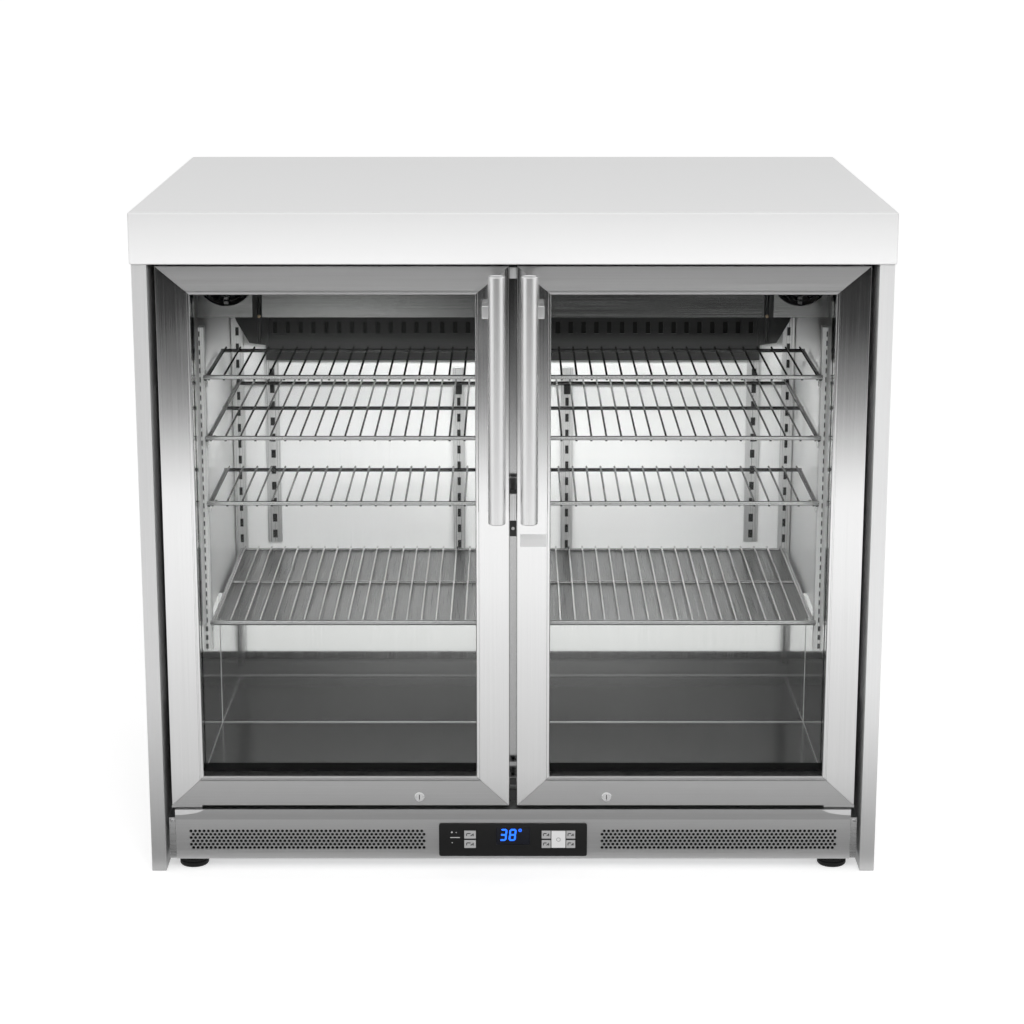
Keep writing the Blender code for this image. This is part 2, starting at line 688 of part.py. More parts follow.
def make_controls():
    face_front = grille_front - FIT_GAP - CONTROL_FACE
    centre_z = CONTROL_BOTTOM + CONTROL_HEIGHT / 2
    outline = rounded_rectangle(CONTROL_WIDTH / 2, CONTROL_HEIGHT / 2, CONTROL_CORNER)
    spot = Matrix.Translation((0, at(face_front + CONTROL_FACE / 2), centre_z))
    mesh = outline_mesh("control_panel", outline, CONTROL_FACE, spot @ UPRIGHT)
    panel = place("control_panel", mesh, black_plastic)
    body_half = CONTROL_WIDTH / 2 - CONTROL_BODY_INSET
    body_depth = (face_front + CONTROL_FACE / 2, face_front + CONTROL_BODY_DEPTH)
    fuse(panel, box("control_body", (-body_half, body_half), body_depth, control_body_z()))
    key_front = face_front - KEY_PROUD
    pocket_back = key_front + KEY_LENGTH + KEY_TRAVEL + RUN_GAP
    for name, centre_x, key_z, width, height, finish in key_layout():
        span = (centre_x - width / 2, centre_x + width / 2)
        span_z = (key_z - height / 2, key_z + height / 2)
        origin = (centre_x, at(key_front), key_z)
        box(name, span, (key_front, key_front + KEY_LENGTH), span_z, finish, origin)
        pocket = (span[0] - RUN_GAP, span[1] + RUN_GAP)
        pocket_z = (span_z[0] - RUN_GAP, span_z[1] + RUN_GAP)
        cut(panel, box(name + "_pocket", pocket, (face_front - CONTROL_FACE, pocket_back), pocket_z))
    half = WINDOW_WIDTH / 2
    window_z = (WINDOW_CENTRE - WINDOW_HEIGHT / 2, WINDOW_CENTRE + WINDOW_HEIGHT / 2)
    box("display_window", (-half, half), (face_front, face_front + WINDOW_DEPTH), window_z, display_black)
    recess = (-half - FIT_GAP, half + FIT_GAP)
    recess_z = (window_z[0] - FIT_GAP, window_z[1] + FIT_GAP)
    recess_depth = (face_front - CONTROL_FACE, face_front + WINDOW_DEPTH + FIT_GAP)
    cut(panel, box("display_recess", recess, recess_depth, recess_z))


def ring_box(name, span_x, depth, span_z, width, finish, pivot):
    """A rectangular ring in the plane of a door."""
    origin = pivot.location
    ring = box(name, span_x, depth, span_z, finish, origin, pivot)
    past = depth[1] - depth[0]
    inner_x = (span_x[0] + width, span_x[1] - width)
    inner_z = (span_z[0] + width, span_z[1] - width)
    cut(ring, box(name + "_inside", inner_x, (depth[0] - past, depth[1] + past), inner_z))
    return ring


def make_door(side, word):
    pivot = pivot_empty("door_pivot_" + word, (side * pivot_x, at(pivot_depth), DOOR_BOTTOM))
    origin = pivot.location
    frame = box(
        "door_frame_" + word, sided(door_inner, door_outer, side), (DOOR_SETBACK, door_back),
        (DOOR_BOTTOM, door_top), brushed_steel, origin, pivot,
    )
    past = BEAD_DEPTH
    sight = sided(sight_inner, sight_outer, side)
    through = (DOOR_SETBACK - past, door_back + past)
    cut(frame, box("sight_" + word, sight, through, (sight_bottom, sight_top)))
    step = sided(sight_inner - BEAD_WIDTH, sight_outer + BEAD_WIDTH, side)
    step_z = (sight_bottom - BEAD_WIDTH, sight_top + BEAD_WIDTH)
    cut(frame, box("bead_step_" + word, step, (DOOR_SETBACK - past, DOOR_SETBACK + BEAD_DEPTH), step_z))
    groove = sided(sight_inner - GLASS_BITE, sight_outer + GLASS_BITE, side)
    groove_z = (sight_bottom - GLASS_BITE, sight_top + GLASS_BITE)
    cut(frame, box("glass_groove_" + word, groove, (glass_front - FIT_GAP, groove_back), groove_z))

    pane_inner = sight_inner - GLASS_BITE + FIT_GAP
    pane_outer = sight_outer + GLASS_BITE - FIT_GAP
    pane = sided(pane_inner, pane_outer, side)
    pane_z = (groove_z[0] + FIT_GAP, groove_z[1] - FIT_GAP)
    for name, front in (("glass_outer_", glass_front), ("glass_inner_", rear_glass_front)):
        box(name + word, pane, (front, front + GLASS_THICKNESS), pane_z, clear_glass, origin, pivot)
    spacer_depth = (spacer_front, spacer_front + SPACER_THICKNESS)
    ring_box("glass_spacer_" + word, pane, spacer_depth, pane_z, SPACER_WIDTH, galvanised, pivot)

    seal = sided(door_inner + GASKET_EDGE, pivot_x, side)
    seal_z = (DOOR_BOTTOM + GASKET_EDGE, door_top - GASKET_EDGE)
    ring_box("gasket_" + word, seal, (gasket_front, gasket_back), seal_z, GASKET_WIDTH, black_rubber, pivot)

    bore = PIN_RADIUS + RUN_GAP
    depth = PIN_BITE + RUN_GAP
    spot_y = at(pivot_depth)
    top_base = (side * pivot_x, spot_y, door_top - depth)
    cut(frame, rod("top_pin_bore_" + word, top_base, 2 * depth, bore, ALONG_Z))
    low_base = (side * pivot_x, spot_y, DOOR_BOTTOM - depth)
    cut(frame, rod("low_pin_bore_" + word, low_base, 2 * depth, bore, ALONG_Z))
    make_lock(side, word, frame, pivot)
    make_handle(side, word, pivot)


def make_lock(side, word, frame, pivot):
    spot = (side * LOCK_FROM_CENTRE, at(DOOR_SETBACK - LOCK_PROUD), DOOR_BOTTOM + LOCK_ABOVE_EDGE)
    name = "lock_barrel_" + word
    rod(name, spot, LOCK_LENGTH, LOCK_RADIUS, ALONG_Y, polished_wire, ROUND_SIDES, spot, pivot)
    bore_length = LOCK_LENGTH + RUN_GAP
    bore_radius = LOCK_RADIUS + RUN_GAP
    cut(frame, rod("lock_bore_" + word, spot, bore_length, bore_radius, ALONG_Y, sides=ROUND_SIDES))


def make_handle(side, word, pivot):
    centre_x = side * (door_inner + HANDLE_FROM_EDGE)
    centre_depth = handle_front + HANDLE_RADIUS
    top = door_top - HANDLE_TOP_DROP
    bottom = top - HANDLE_LENGTH
    base = (centre_x, at(centre_depth), bottom)
    grip = rod(
        "handle_" + word, base, HANDLE_LENGTH, HANDLE_RADIUS, ALONG_Z, brushed_steel, ROUND_SIDES,
        pivot.location, pivot,
    )
    post_depth = (centre_depth, DOOR_SETBACK - FIT_GAP)
    upper = top - HANDLE_UPPER_POST
    lower = bottom + HANDLE_LOWER_POST
    outer_x = centre_x + side * POST_OUTREACH
    upper_x = (min(centre_x, outer_x), max(centre_x, outer_x))
    lower_x = (centre_x - POST_HALF_WIDTH, centre_x + POST_HALF_WIDTH)
    for name, span_x, height in (("upper_post_", upper_x, upper), ("lower_post_", lower_x, lower)):
        span_z = (height - POST_HEIGHT / 2, height + POST_HEIGHT / 2)
        fuse(grip, box(name + word, span_x, post_depth, span_z))


def make_bracket(side, word):
    """The bottom hinge: a plate under the door, a leg down to the base and a pin up into the door."""
    span = sided(pivot_x - BRACKET_INWARD, pivot_x + LUG_HALF_WIDTH, side)
    front = pivot_depth - PIN_RADIUS - BRACKET_NOSE
    depth = (front, bracket_leg_back)
    plate = box("hinge_bracket_" + word, span, depth, (bracket_bottom, bracket_top), brushed_steel)
    leg_z = (bracket_top - BRACKET_LEG, bracket_top)
    fuse(plate, box("bracket_leg_" + word, span, (bracket_leg_front, bracket_leg_back), leg_z))
    base = (side * pivot_x, at(pivot_depth), bracket_bottom + BRACKET_THICKNESS / 2)
    length = DOOR_BOTTOM + PIN_BITE - base[2]
    fuse(plate, rod("bracket_pin_" + word, base, length, PIN_RADIUS, ALONG_Z))


def slots_between(low, high):
    """Slot centres at the slot pitch, kept whole inside a strip."""
    count = int((high - low - SLOT_HEIGHT) / SLOT_PITCH)
    start = (low + high) / 2 - (count - 1) * SLOT_PITCH / 2
    return [start + index * SLOT_PITCH for index in range(count)]


def pilaster(name, turn, low, high):
    half = PILASTER_WIDTH / 2
    slot = SLOT_WIDTH / 2
    tall = SLOT_HEIGHT / 2
    holes = [(-slot, centre - tall, slot, centre + tall) for centre in slots_between(low, high)]
    mesh = outline_mesh(name, rectangle(-half, low, half, high), PILASTER_DEPTH, turn)
    strip = place(name, mesh, liner_steel)
    cut(strip, slots(name + "_slots", holes, PILASTER_DEPTH, turn))


def make_pilasters():
    corner_x = liner_half - CORNER_PILASTER_GAP - PILASTER_WIDTH / 2
    rear_y = at(rear_pilaster_face + PILASTER_DEPTH / 2)
    corner_bottom = liner_floor + FIT_GAP
    for side, word in ((-1, "left"), (1, "right")):
        wall_x = side * (pilaster_face + PILASTER_DEPTH / 2)
        side_turn = Matrix.Translation((wall_x, at(SIDE_PILASTER_DEPTH), 0)) @ SIDEWAYS
        pilaster("pilaster_side_" + word, side_turn, side_pilaster_bottom, side_pilaster_top)
        corner_turn = Matrix.Translation((side * corner_x, rear_y, 0)) @ UPRIGHT
        pilaster("pilaster_corner_" + word, corner_turn, corner_bottom, side_pilaster_top)
        centre_turn = Matrix.Translation((side * CENTRE_PILASTER_X, rear_y, 0)) @ UPRIGHT
        pilaster("pilaster_centre_" + word, centre_turn, centre_pilaster_bottom, rear_pilaster_top)


def make_shelf(level, side, word):
    deep = SHELF_IS_DEEP[level]
    back = shelf_back if deep else HALF_SHELF_BACK
    low_x, high_x = sided(shelf_inner, shelf_outer, side)
    bays = [(SHELF_FRONT + RAIL_WIDTH, back - RAIL_WIDTH)]
    if deep:
        bays = [(SHELF_FRONT + RAIL_WIDTH, SHELF_MIDDLE), (SHELF_MIDDLE + RAIL_WIDTH, back - RAIL_WIDTH)]
    clear = high_x - low_x - 2 * RAIL_WIDTH
    count = round((clear + WIRE_WIDTH) / WIRE_PITCH)
    pitch = (clear + WIRE_WIDTH) / count
    holes = []
    for index in range(count):
        hole_x = low_x + RAIL_WIDTH + index * pitch
        for bay_front, bay_back in bays:
            holes.append((hole_x, at(bay_front), hole_x + pitch - WIRE_WIDTH, at(bay_back)))
    name = f"shelf_{level + 1}_{word}"
    spot = Matrix.Translation((0, 0, shelf_levels[level] - SHELF_THICKNESS / 2))
    outline = rectangle(low_x, at(SHELF_FRONT), high_x, at(back))
    shelf = place(name, outline_mesh(name, outline, SHELF_THICKNESS, spot), polished_wire)
    cut(shelf, slots(name + "_gaps", holes, SHELF_THICKNESS, spot))
    if level + 1 == DECKED_SHELF:
        deck_top = shelf_levels[level] - SHELF_THICKNESS + DECK_THICKNESS
        deck_z = (deck_top - DECK_THICKNESS, deck_top)
        inset = RAIL_WIDTH / 2
        deck_x = (low_x + inset, high_x - inset)
        fuse(shelf, box(name + "_deck", deck_x, (SHELF_FRONT + inset, back - inset), deck_z))


def make_shelves():
    for level in range(len(shelf_levels)):
        for side, word in ((-1, "left"), (1, "right")):
            make_shelf(level, side, word)


def make_fan(name, spot, radius, shaft_sign):
    """A fan with its hub on a shaft along Y: shaft_sign is -1 where the shaft runs to the front."""
    hub_base = spot
    fan = rod(name, hub_base, FAN_HUB_LENGTH, FAN_HUB_RADIUS, ALONG_Y, black_plastic, SMALL_SIDES, spot)
    overlap = FAN_HUB_LENGTH / 2
    shaft_start = spot[1] - FAN_SHAFT_LENGTH if shaft_sign < 0 else spot[1] + FAN_HUB_LENGTH - overlap
    shaft_base = (spot[0], shaft_start, spot[2])
    fuse(fan, rod(name + "_shaft", shaft_base, FAN_SHAFT_LENGTH + overlap, FAN_SHAFT_RADIUS, ALONG_Y))
    inner = FAN_HUB_RADIUS / 2
    length = radius - inner
    for blade in range(FAN_BLADES):
        shape = bmesh.new()
        bmesh.ops.create_cube(shape, size=1.0)
        size = Matrix.Diagonal((FAN_BLADE_WIDTH, FAN_BLADE_THICKNESS, length, 1))
        tilt = Matrix.Rotation(math.radians(FAN_BLADE_PITCH), 4, "Z")
        out = Matrix.Translation((0, 0, inner + length / 2))
        turn = Matrix.Rotation(2 * math.pi * blade / FAN_BLADES, 4, "Y")
        middle = Matrix.Translation(Vector(spot) + Vector((0, FAN_HUB_LENGTH / 2, 0)))
        bmesh.ops.transform(shape, matrix=middle @ turn @ out @ tilt @ size, verts=shape.verts)
        blade_name = f"{name}_blade_{blade + 1}"
        fuse(fan, place(blade_name, mesh_from(blade_name, shape), None))


def comb(half, base, height, thickness, pitch):
    """The outline of a finned block: a base with upright fins at an even pitch."""
    count = int((2 * half - thickness) / pitch) + 1
    start = -((count - 1) * pitch + thickness) / 2
    points = [(start, 0), (-start, 0)]
    for index in reversed(range(count)):
        left = start + index * pitch
        points += [(left + thickness, base), (left + thickness, height), (left, height), (left, base)]
    return [point for index, point in enumerate(points) if point != points[index - 1]]


def make_evaporator():
    cover_half = liner_half - FIT_GAP
    cover_top = liner_ceiling - FIT_GAP
    front = (COVER_FRONT, COVER_FRONT + COVER_SHEET)
    floor_back = cover_skirt_depth + COVER_SHEET
    floor_top = cover_bottom + COVER_SHEET
    bend = [
        (at(front[0]), cover_bottom),
        (at(floor_back), cover_bottom),
        (at(floor_back), floor_top),
        (at(front[1]), floor_top),
        (at(front[1]), cover_top),
        (at(front[0]), cover_top),
    ]
    bent_sheet = outline_mesh("evaporator_cover", bend, 2 * cover_half, SIDEWAYS)
    cover = place("evaporator_cover", bent_sheet, liner_steel)
    for side, word in ((-1, "left"), (1, "right")):
        mouth_base = (side * fan_x, at(front[0] - COVER_SHEET), evaporator_fan_z)
        mouth = rod(
            "fan_mouth_" + word, mouth_base, 3 * COVER_SHEET, EVAPORATOR_FAN_HOLE, ALONG_Y, sides=ROUND_SIDES
        )
        cut(cover, mouth)
        strut = (side * fan_x - STRUT_WIDTH / 2, side * fan_x + STRUT_WIDTH / 2)
        reach = EVAPORATOR_FAN_HOLE + STRUT_WIDTH / 2
        strut_z = (evaporator_fan_z - reach, evaporator_fan_z + reach)
        fuse(cover, box("fan_strut_" + word, strut, front, strut_z))
        boss_base = (side * fan_x, at(front[0]), evaporator_fan_z)
        fuse(cover, rod("fan_boss_" + word, boss_base, COVER_SHEET, BOSS_RADIUS, ALONG_Y))
        bore_base = (side * fan_x, at(front[0] - COVER_SHEET), evaporator_fan_z)
        bore = rod("fan_bore_" + word, bore_base, 3 * COVER_SHEET, FAN_SHAFT_RADIUS + RUN_GAP, ALONG_Y)
        cut(cover, bore)
    skirt_half = cover_half - COVER_SKIRT_INSET
    count = 2 * int((skirt_half - COVER_SLOT_WIDTH / 2) / COVER_SLOT_PITCH)
    start = -(count - 1) * COVER_SLOT_PITCH / 2
    low = cover_slot_centre - COVER_SLOT_HEIGHT / 2
    high = cover_slot_centre + COVER_SLOT_HEIGHT / 2
    holes = []
    for index in range(count):
        centre = start + index * COVER_SLOT_PITCH
        holes.append((centre - COVER_SLOT_WIDTH / 2, low, centre + COVER_SLOT_WIDTH / 2, high))
    skirt_turn = Matrix.Translation((0, at(cover_skirt_depth + COVER_SHEET / 2), 0)) @ UPRIGHT
    outline = rectangle(-skirt_half, cover_skirt_bottom, skirt_half, cover_bottom + COVER_SHEET / 2)
    skirt = place("cover_skirt", outline_mesh("cover_skirt", outline, COVER_SHEET, skirt_turn), None)
    cut(skirt, slots("cover_slots", holes, COVER_SHEET, skirt_turn))
    fuse(cover, skirt)

    fan_y = at(front[1] + RUN_GAP)
    for side, word in ((-1, "left"), (1, "right")):
        spot = (side * fan_x, fan_y, evaporator_fan_z)
        make_fan("evaporator_fan_" + word, spot, EVAPORATOR_FAN_HOLE - FAN_TIP_GAP, -1)

    coil_z = floor_top + FIT_GAP
    coil_height = liner_ceiling - COIL_TOP_GAP - coil_z
    outline = comb(coil_half_width, COIL_BASE, coil_height, FIN_THICKNESS, FIN_PITCH)
    coil_spot = Matrix.Translation((0, at((coil_front + coil_back) / 2), coil_z))
    mesh = outline_mesh("evaporator_coil", outline, coil_back - coil_front, coil_spot @ UPRIGHT)
    place("evaporator_coil", mesh, coil_metal)


def condenser_fan_depth():
    return CONDENSER_FRONT + CONDENSER_DEPTH + CONDENSER_FAN_GAP


def condenser_fan_height():
    return (chassis_top + CABINET_BOTTOM) / 2


def make_machine():
    rest_z = chassis_top + FIT_GAP
    axis_z = rest_z + COMPRESSOR_LEG + COMPRESSOR_RADIUS
    half = COMPRESSOR_LENGTH / 2
    dome = COMPRESSOR_RADIUS / 2
    rim = []
    for step in range(DOME_STEPS + 1):
        angle = math.pi / 2 * step / DOME_STEPS
        rim.append((COMPRESSOR_RADIUS * math.sin(angle), half - dome + dome * math.cos(angle)))
    profile = rim + [(radius, -height) for radius, height in reversed(rim)]
    profile[0] = (0, half)
    profile[-1] = (0, -half)
    spot = (compressor_x, at(compressor_depth), axis_z)
    compressor = turned("compressor", profile, ROUND_SIDES, black_paint, spot, ALONG_X)
    for side, word in ((-1, "left"), (1, "right")):
        leg_x = compressor_x + side * COMPRESSOR_LEG_SPAN / 2
        span = (leg_x - COMPRESSOR_LEG_WIDTH / 2, leg_x + COMPRESSOR_LEG_WIDTH / 2)
        depth = (compressor_depth - COMPRESSOR_LEG_REACH, compressor_depth + COMPRESSOR_LEG_REACH)
        fuse(compressor, box("compressor_leg_" + word, span, depth, (rest_z, axis_z - COMPRESSOR_RADIUS / 2)))
    outline = comb(CONDENSER_WIDTH / 2, COIL_BASE, CONDENSER_HEIGHT, FIN_THICKNESS, FIN_PITCH / 2)
    condenser_y = at(CONDENSER_FRONT + CONDENSER_DEPTH / 2)
    condenser_spot = Matrix.Translation((condenser_x, condenser_y, rest_z))
    mesh = outline_mesh("condenser", outline, CONDENSER_DEPTH, condenser_spot @ UPRIGHT)
    place("condenser", mesh, coil_metal)
    fan_spot = (condenser_x, at(condenser_fan_depth()), condenser_fan_height())
    make_fan("condenser_fan", fan_spot, CONDENSER_FAN_RADIUS, 1)


def main():
    make_housing()
    make_cabinet()
    make_base()
    make_grille()
    make_controls()
    for side, word in ((-1, "left"), (1, "right")):
        make_door(side, word)
        make_bracket(side, word)
    make_pilasters()
    make_shelves()
    make_evaporator()
    make_machine()


main()
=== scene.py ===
"""Looks of a glass-front undercounter refrigerator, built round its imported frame.

Metres, +Z up, +X to the right, +Y to the back, as in the frame. Depths are measured back from the
front edges of the side panels. Spans in X are those of the right side, and the left side mirrors them.
"""

import json
import math

import bmesh
import bpy
from mathutils import Matrix, Vector

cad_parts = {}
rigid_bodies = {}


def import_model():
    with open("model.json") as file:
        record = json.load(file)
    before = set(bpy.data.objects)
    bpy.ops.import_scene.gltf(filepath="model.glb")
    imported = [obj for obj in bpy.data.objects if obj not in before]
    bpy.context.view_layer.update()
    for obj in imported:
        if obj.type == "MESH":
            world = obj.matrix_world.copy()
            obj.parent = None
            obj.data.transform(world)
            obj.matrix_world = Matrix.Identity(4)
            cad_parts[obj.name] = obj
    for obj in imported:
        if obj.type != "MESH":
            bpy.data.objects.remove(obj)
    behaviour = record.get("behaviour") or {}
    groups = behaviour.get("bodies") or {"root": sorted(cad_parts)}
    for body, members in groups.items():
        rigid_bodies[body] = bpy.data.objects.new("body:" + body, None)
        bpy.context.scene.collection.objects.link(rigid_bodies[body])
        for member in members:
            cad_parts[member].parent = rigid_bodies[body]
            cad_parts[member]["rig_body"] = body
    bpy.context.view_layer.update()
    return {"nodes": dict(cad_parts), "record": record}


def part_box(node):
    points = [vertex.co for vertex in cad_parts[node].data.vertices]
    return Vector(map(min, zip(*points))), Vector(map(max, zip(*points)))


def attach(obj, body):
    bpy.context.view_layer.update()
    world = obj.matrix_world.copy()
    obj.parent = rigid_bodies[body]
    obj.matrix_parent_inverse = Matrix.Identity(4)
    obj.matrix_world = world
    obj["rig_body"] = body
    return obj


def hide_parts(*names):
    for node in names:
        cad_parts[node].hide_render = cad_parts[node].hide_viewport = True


for startup_object in list(bpy.data.objects):
    bpy.data.objects.remove(startup_object)
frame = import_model()

SIDES = ((-1, "left"), (1, "right"))
FRONT_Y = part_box("side_panel_left")[0].y
SLOTS = {entry["node"]: entry["material_slot"] for entry in frame["record"]["subparts"]}

# Photograph's camera
CAMERA_X = -0.0014
CAMERA_DISTANCE = 3.3109
CAMERA_HEIGHT = 1.322
CAMERA_PITCH = 13.78
FOCAL_PIXELS = 2557.6
FRAME_PIXELS = 1024
SENSOR_WIDTH = 36.0

# Lamps: name, place, target, size, power in watts, spread in degrees
LAMPS = (
    ("front_box", (0.25, -3.0, 2.2), (0, 0, 0.4), (2.4, 1.4), 50, 180),
    ("cabinet_light", (0, FRONT_Y + 0.20, 0.742), (0, FRONT_Y + 0.54, 0.35), (0.70, 0.08), 3.9, 140),
    ("low_light", (0, FRONT_Y + 0.15, 0.300), (0, FRONT_Y + 0.54, 0.24), (0.50, 0.03), 0.66, 180),
)

# Stage; the flag's cover goes by the distance in front of the side panels
FLOOR_HALF = 30.0
FLOOR_DROP = 0.0005
FLOOR_GLOW = 0.52
WORLD_LIGHT = 0.72
FLAG_HALF = 9.0
FLAG_START = 0.02
FLAG_REACH = 11.0
FLAG_HEIGHT = 0.004
FLAG_COVER = (
    (0.0, 0.88), (0.14, 0.74), (0.26, 0.36), (0.39, 0.26), (0.85, 0.18),
    (1.43, 0.06), (2.2, 0.02), (3.19, 0.62), (4.4, 0.96), (11.0, 1.0),
)
GLEAM_PLACE = (-0.52, FRONT_Y - 4.30, 0.0)
GLEAM_SPREAD = (0.12, 0.55)
GLEAM_COVER = 0.35
CURTAIN_DISTANCE = 5.5
CURTAIN_HALF = 5.0
CURTAIN_HEIGHT = 4.0

# Finishes: noise scales, and where painted shade darkens a finish, as two heights and the shares of its
# colour there
GRAIN_ACROSS = 1100.0
GRAIN_ALONG = 5.0
CLOUD_SCALE = 9.0
NOISE_DETAIL = 3.0
PANEL_SHADE = ((0.0, 0.30), (0.62, 1.0))
LINER_SHADE = ((0.61, 0.74), (1.0, 0.22))
SKIRT_SHADE = ((0.642, 0.668), (1.0, 0.34))
GRILLE_SHADE = ((0.0718, 0.0730), (1.0, 0.80))

# Rounded edges: widths for CAD nodes by the start of their names, and for pieces that are added
NODE_EDGES = {
    "worktop": 0.0022, "cabinet_shell": 0.0006, "liner": 0.0010, "face_frame": 0.0006,
    "base_chassis": 0.0004, "hinge_bracket": 0.0005, "glass": 0.0004, "gasket": 0.0022,
    "display_window": 0.0003, "button": 0.0004, "pilaster": 0.0005, "compressor": 0.0015,
}
THIN_EDGE = 0.0003
SMALL_EDGE = 0.0006
PLAIN_EDGE = 0.0008
ROUND_STEPS = 2
FINE_STEPS = 3
SHARP_ANGLE = math.radians(30)
SMOOTH_ANGLE = math.radians(35)
FLAT_ANGLE = math.radians(1)
WELD_DISTANCE = 1e-5
SHEET_WELD_DISTANCE = 1e-6
ALONG_Y = 0.9

# Door frames: points of the outer edge, and of the bead as distances from the inner edge, with depths
OUTER_EDGE = ((0.0, 0.0009), (0.0003, 0.0003), (0.0009, 0.0))
BEAD = (
    (0.0062, 0.0), (0.0060, 0.0022), (0.0047, 0.0022), (0.0042, 0.0008),
    (0.0030, 0.0003), (0.0012, 0.0006), (0.0002, 0.0016), (0.0, 0.0026),
)
MITRE_GAP = 0.0002
PANE_BITE = 0.0097
SEAL_HEIGHT = 0.0125
SEAL_SIDE = 0.0006
SEAL_THICKNESS = 0.0008

# Bare plate on the right door
PLATE_X = (0.0095, 0.0445)
PLATE_Z = (0.4600, 0.4770)
PLATE_DEPTH = 0.0007

# Handles
HANDLE_RADIUS = 0.0115
HANDLE_EDGE = 0.0009
HANDLE_RIM = 0.0020
HANDLE_DISH = 0.0008
POST_HALF = 0.0085
POST_REACH = 0.0195
POST_WIDTH = 0.012
POST_SINK = 0.004
POST_EDGE = 0.0012
UPPER_POST = 0.048
LOWER_POST = 0.030

# Locks: the dish starts and ends at shares of the barrel's radius
LOCK_DISH = 0.0006
LOCK_DISH_SHARES = (0.62, 0.66)
LOCK_EDGE = 0.0008
KEY_SLOT_HALF = (0.0006, 0.0034)
KEY_SLOT_DEPTHS = (0.0004, 0.0012)

# Hinge covers on the grille's corners, and washers under the doors
HINGE_PLATE = (
    (0.4645, 0.0873), (0.4245, 0.0873), (0.4290, 0.0848), (0.4360, 0.0825),
    (0.4450, 0.0808), (0.4550, 0.0798), (0.4645, 0.0795),
)
HINGE_PLATE_THICKNESS = 0.0012
WASHER_X = (0.4380, 0.4520)
WASHER_Z = (0.0880, 0.0920)
WASHER_DEPTHS = (0.014, 0.030)

# Fittings on the centre post, as their lowest and highest points, the two lowest black ones being painted
# shade, and strips beside the cabinet, painted light
FITTING_HALF = 0.0046
FITTING_DEPTH = 0.0035
PALE_FITTINGS = ((0.8217, 0.8364), (0.4953, 0.5322))
BLACK_FITTINGS_AND_SHADE_BLOCKS = ((0.5332, 0.5382), (0.4736, 0.4950), (0.1215, 0.1310), (0.0985, 0.1150))
CATCH_HEIGHT = 0.4845
CATCH_RADIUS = 0.0022
GAP_STRIP_X = (0.4705, 0.4755)
GAP_STRIP_Z = (0.228, 0.670)
GAP_STRIP_DEPTHS = (0.056, 0.062)

# Floor pan: its sheet, the height over its underside where its upright back starts, wall sheets and seams
PAN_SHEET = 0.003
PAN_FLOOR = 0.004
PAN_SIDE_SHEET = 0.0006
PAN_SIDE_START = 0.002
PAN_SIDE_END = 0.004
PAN_SIDE_EDGE = 0.0001
SEAM_RADIUS = 0.0006
LIP_RADIUS = 0.0016

# Kick grille
GRILLE_SHEET = 0.0012
GRILLE_FOLD = 0.008
GRILLE_FOLD_EDGE = 0.0005
PANEL_RIM = 0.0035
HOLE_RADIUS = 0.0022
HOLE_PITCH = 0.0060
HOLE_ROW_PITCH = 0.00485
HOLE_ROWS = 6
HOLE_SIDES = 8
HOLE_BOTTOM = 0.0312
PATCH_X = (0.1213, 0.4478)
SCREEN_MARGIN = 0.008
END_STRIP_X = (0.4645, 0.4735)
END_STRIP_Z = (0.016, 0.076)
END_STRIP_DEPTH = 0.006
END_SCREW_DROP = 0.0045
END_SCREW_RADIUS = 0.0028

# Screw heads, as shares of the radius and of the rise
SCREW_DOME = ((0, 1), (0.5, 0.85), (0.85, 0.45), (1, 0), (1, -1), (0, -1))
SCREW_RISE = 0.5

# Display: each figure's corners are numbered by row, from the bottom, and column
DIGIT_HEIGHT = 0.0175
DIGIT_WIDTH = 0.0098
DIGIT_STROKE = 0.0024
DIGIT_SLANT = 0.10
DIGIT_LEFT = -0.0190
DIGIT_STEP = 0.0126
DIGIT_BOTTOM = 0.0419
SEGMENTS = {
    "a": ((2, 0), (2, 1)), "b": ((2, 1), (1, 1)), "c": ((1, 1), (0, 1)), "d": ((0, 0), (0, 1)),
    "e": ((0, 0), (1, 0)), "f": ((1, 0), (2, 0)), "g": ((1, 0), (1, 1)),
}
LIT_SEGMENTS = ("abcdg", "abcdefg")
DEGREE_PLACE = (0.0098, 0.0572)
DEGREE_RADIUS = 0.0017
DEGREE_LINE = 0.0006

# Plain marks: dots as X, height and half width, and strokes as shares of a key's mark and heights
MARK_DEPTH = 0.0003
PANEL_BAR = ((-0.0868, 0.0468), (-0.0730, 0.0468))
PANEL_BAR_HALF = 0.0005
PANEL_DOTS = ((-0.0842, 0.0545, 0.0015), (-0.0782, 0.0540, 0.0008), (-0.0838, 0.0392, 0.0009))
KEY_MARK_SHARE = 0.3
KEY_STROKES = (
    ((-1.0, 0.0020), (0.2, 0.0020)), ((-1.0, -0.0018), (-1.0, 0.0018)),
    ((0.1, -0.0016), (1.0, 0.0012)), ((0.9, -0.0020), (0.9, 0.0022)),
)
KEY_STROKE_HALF = 0.0006
POWER_RING_RADIUS = 0.0026
POWER_RING_LINE = 0.0005

# Feet: the rim's points as distances in from the foot's radius, with heights
FOOT_STEM = 0.0045
FOOT_RIM = (
    (0.003, 0.0150), (0, 0.0125), (0, 0.0080), (0.0010, 0.0072), (0, 0.0064), (0, 0.0020), (0.0015, 0),
)

# Shelves: the wires' bends as distances behind the middle of the front rail, with drops
WIRE_RADIUS = 0.0015
WIRE_PITCH = 0.0205
WIRE_MARGIN = 0.016
WIRE_HOOK = ((0.012, 0), (0.005, 0.0012), (0.0025, 0.0035), (0.0020, 0.0065))
RAIL_RADIUS = 0.0027
FRONT_RAIL_RADIUS = 0.0031
MIDDLE_RAIL_DEPTH = 0.343
DECK_DROP = 0.002

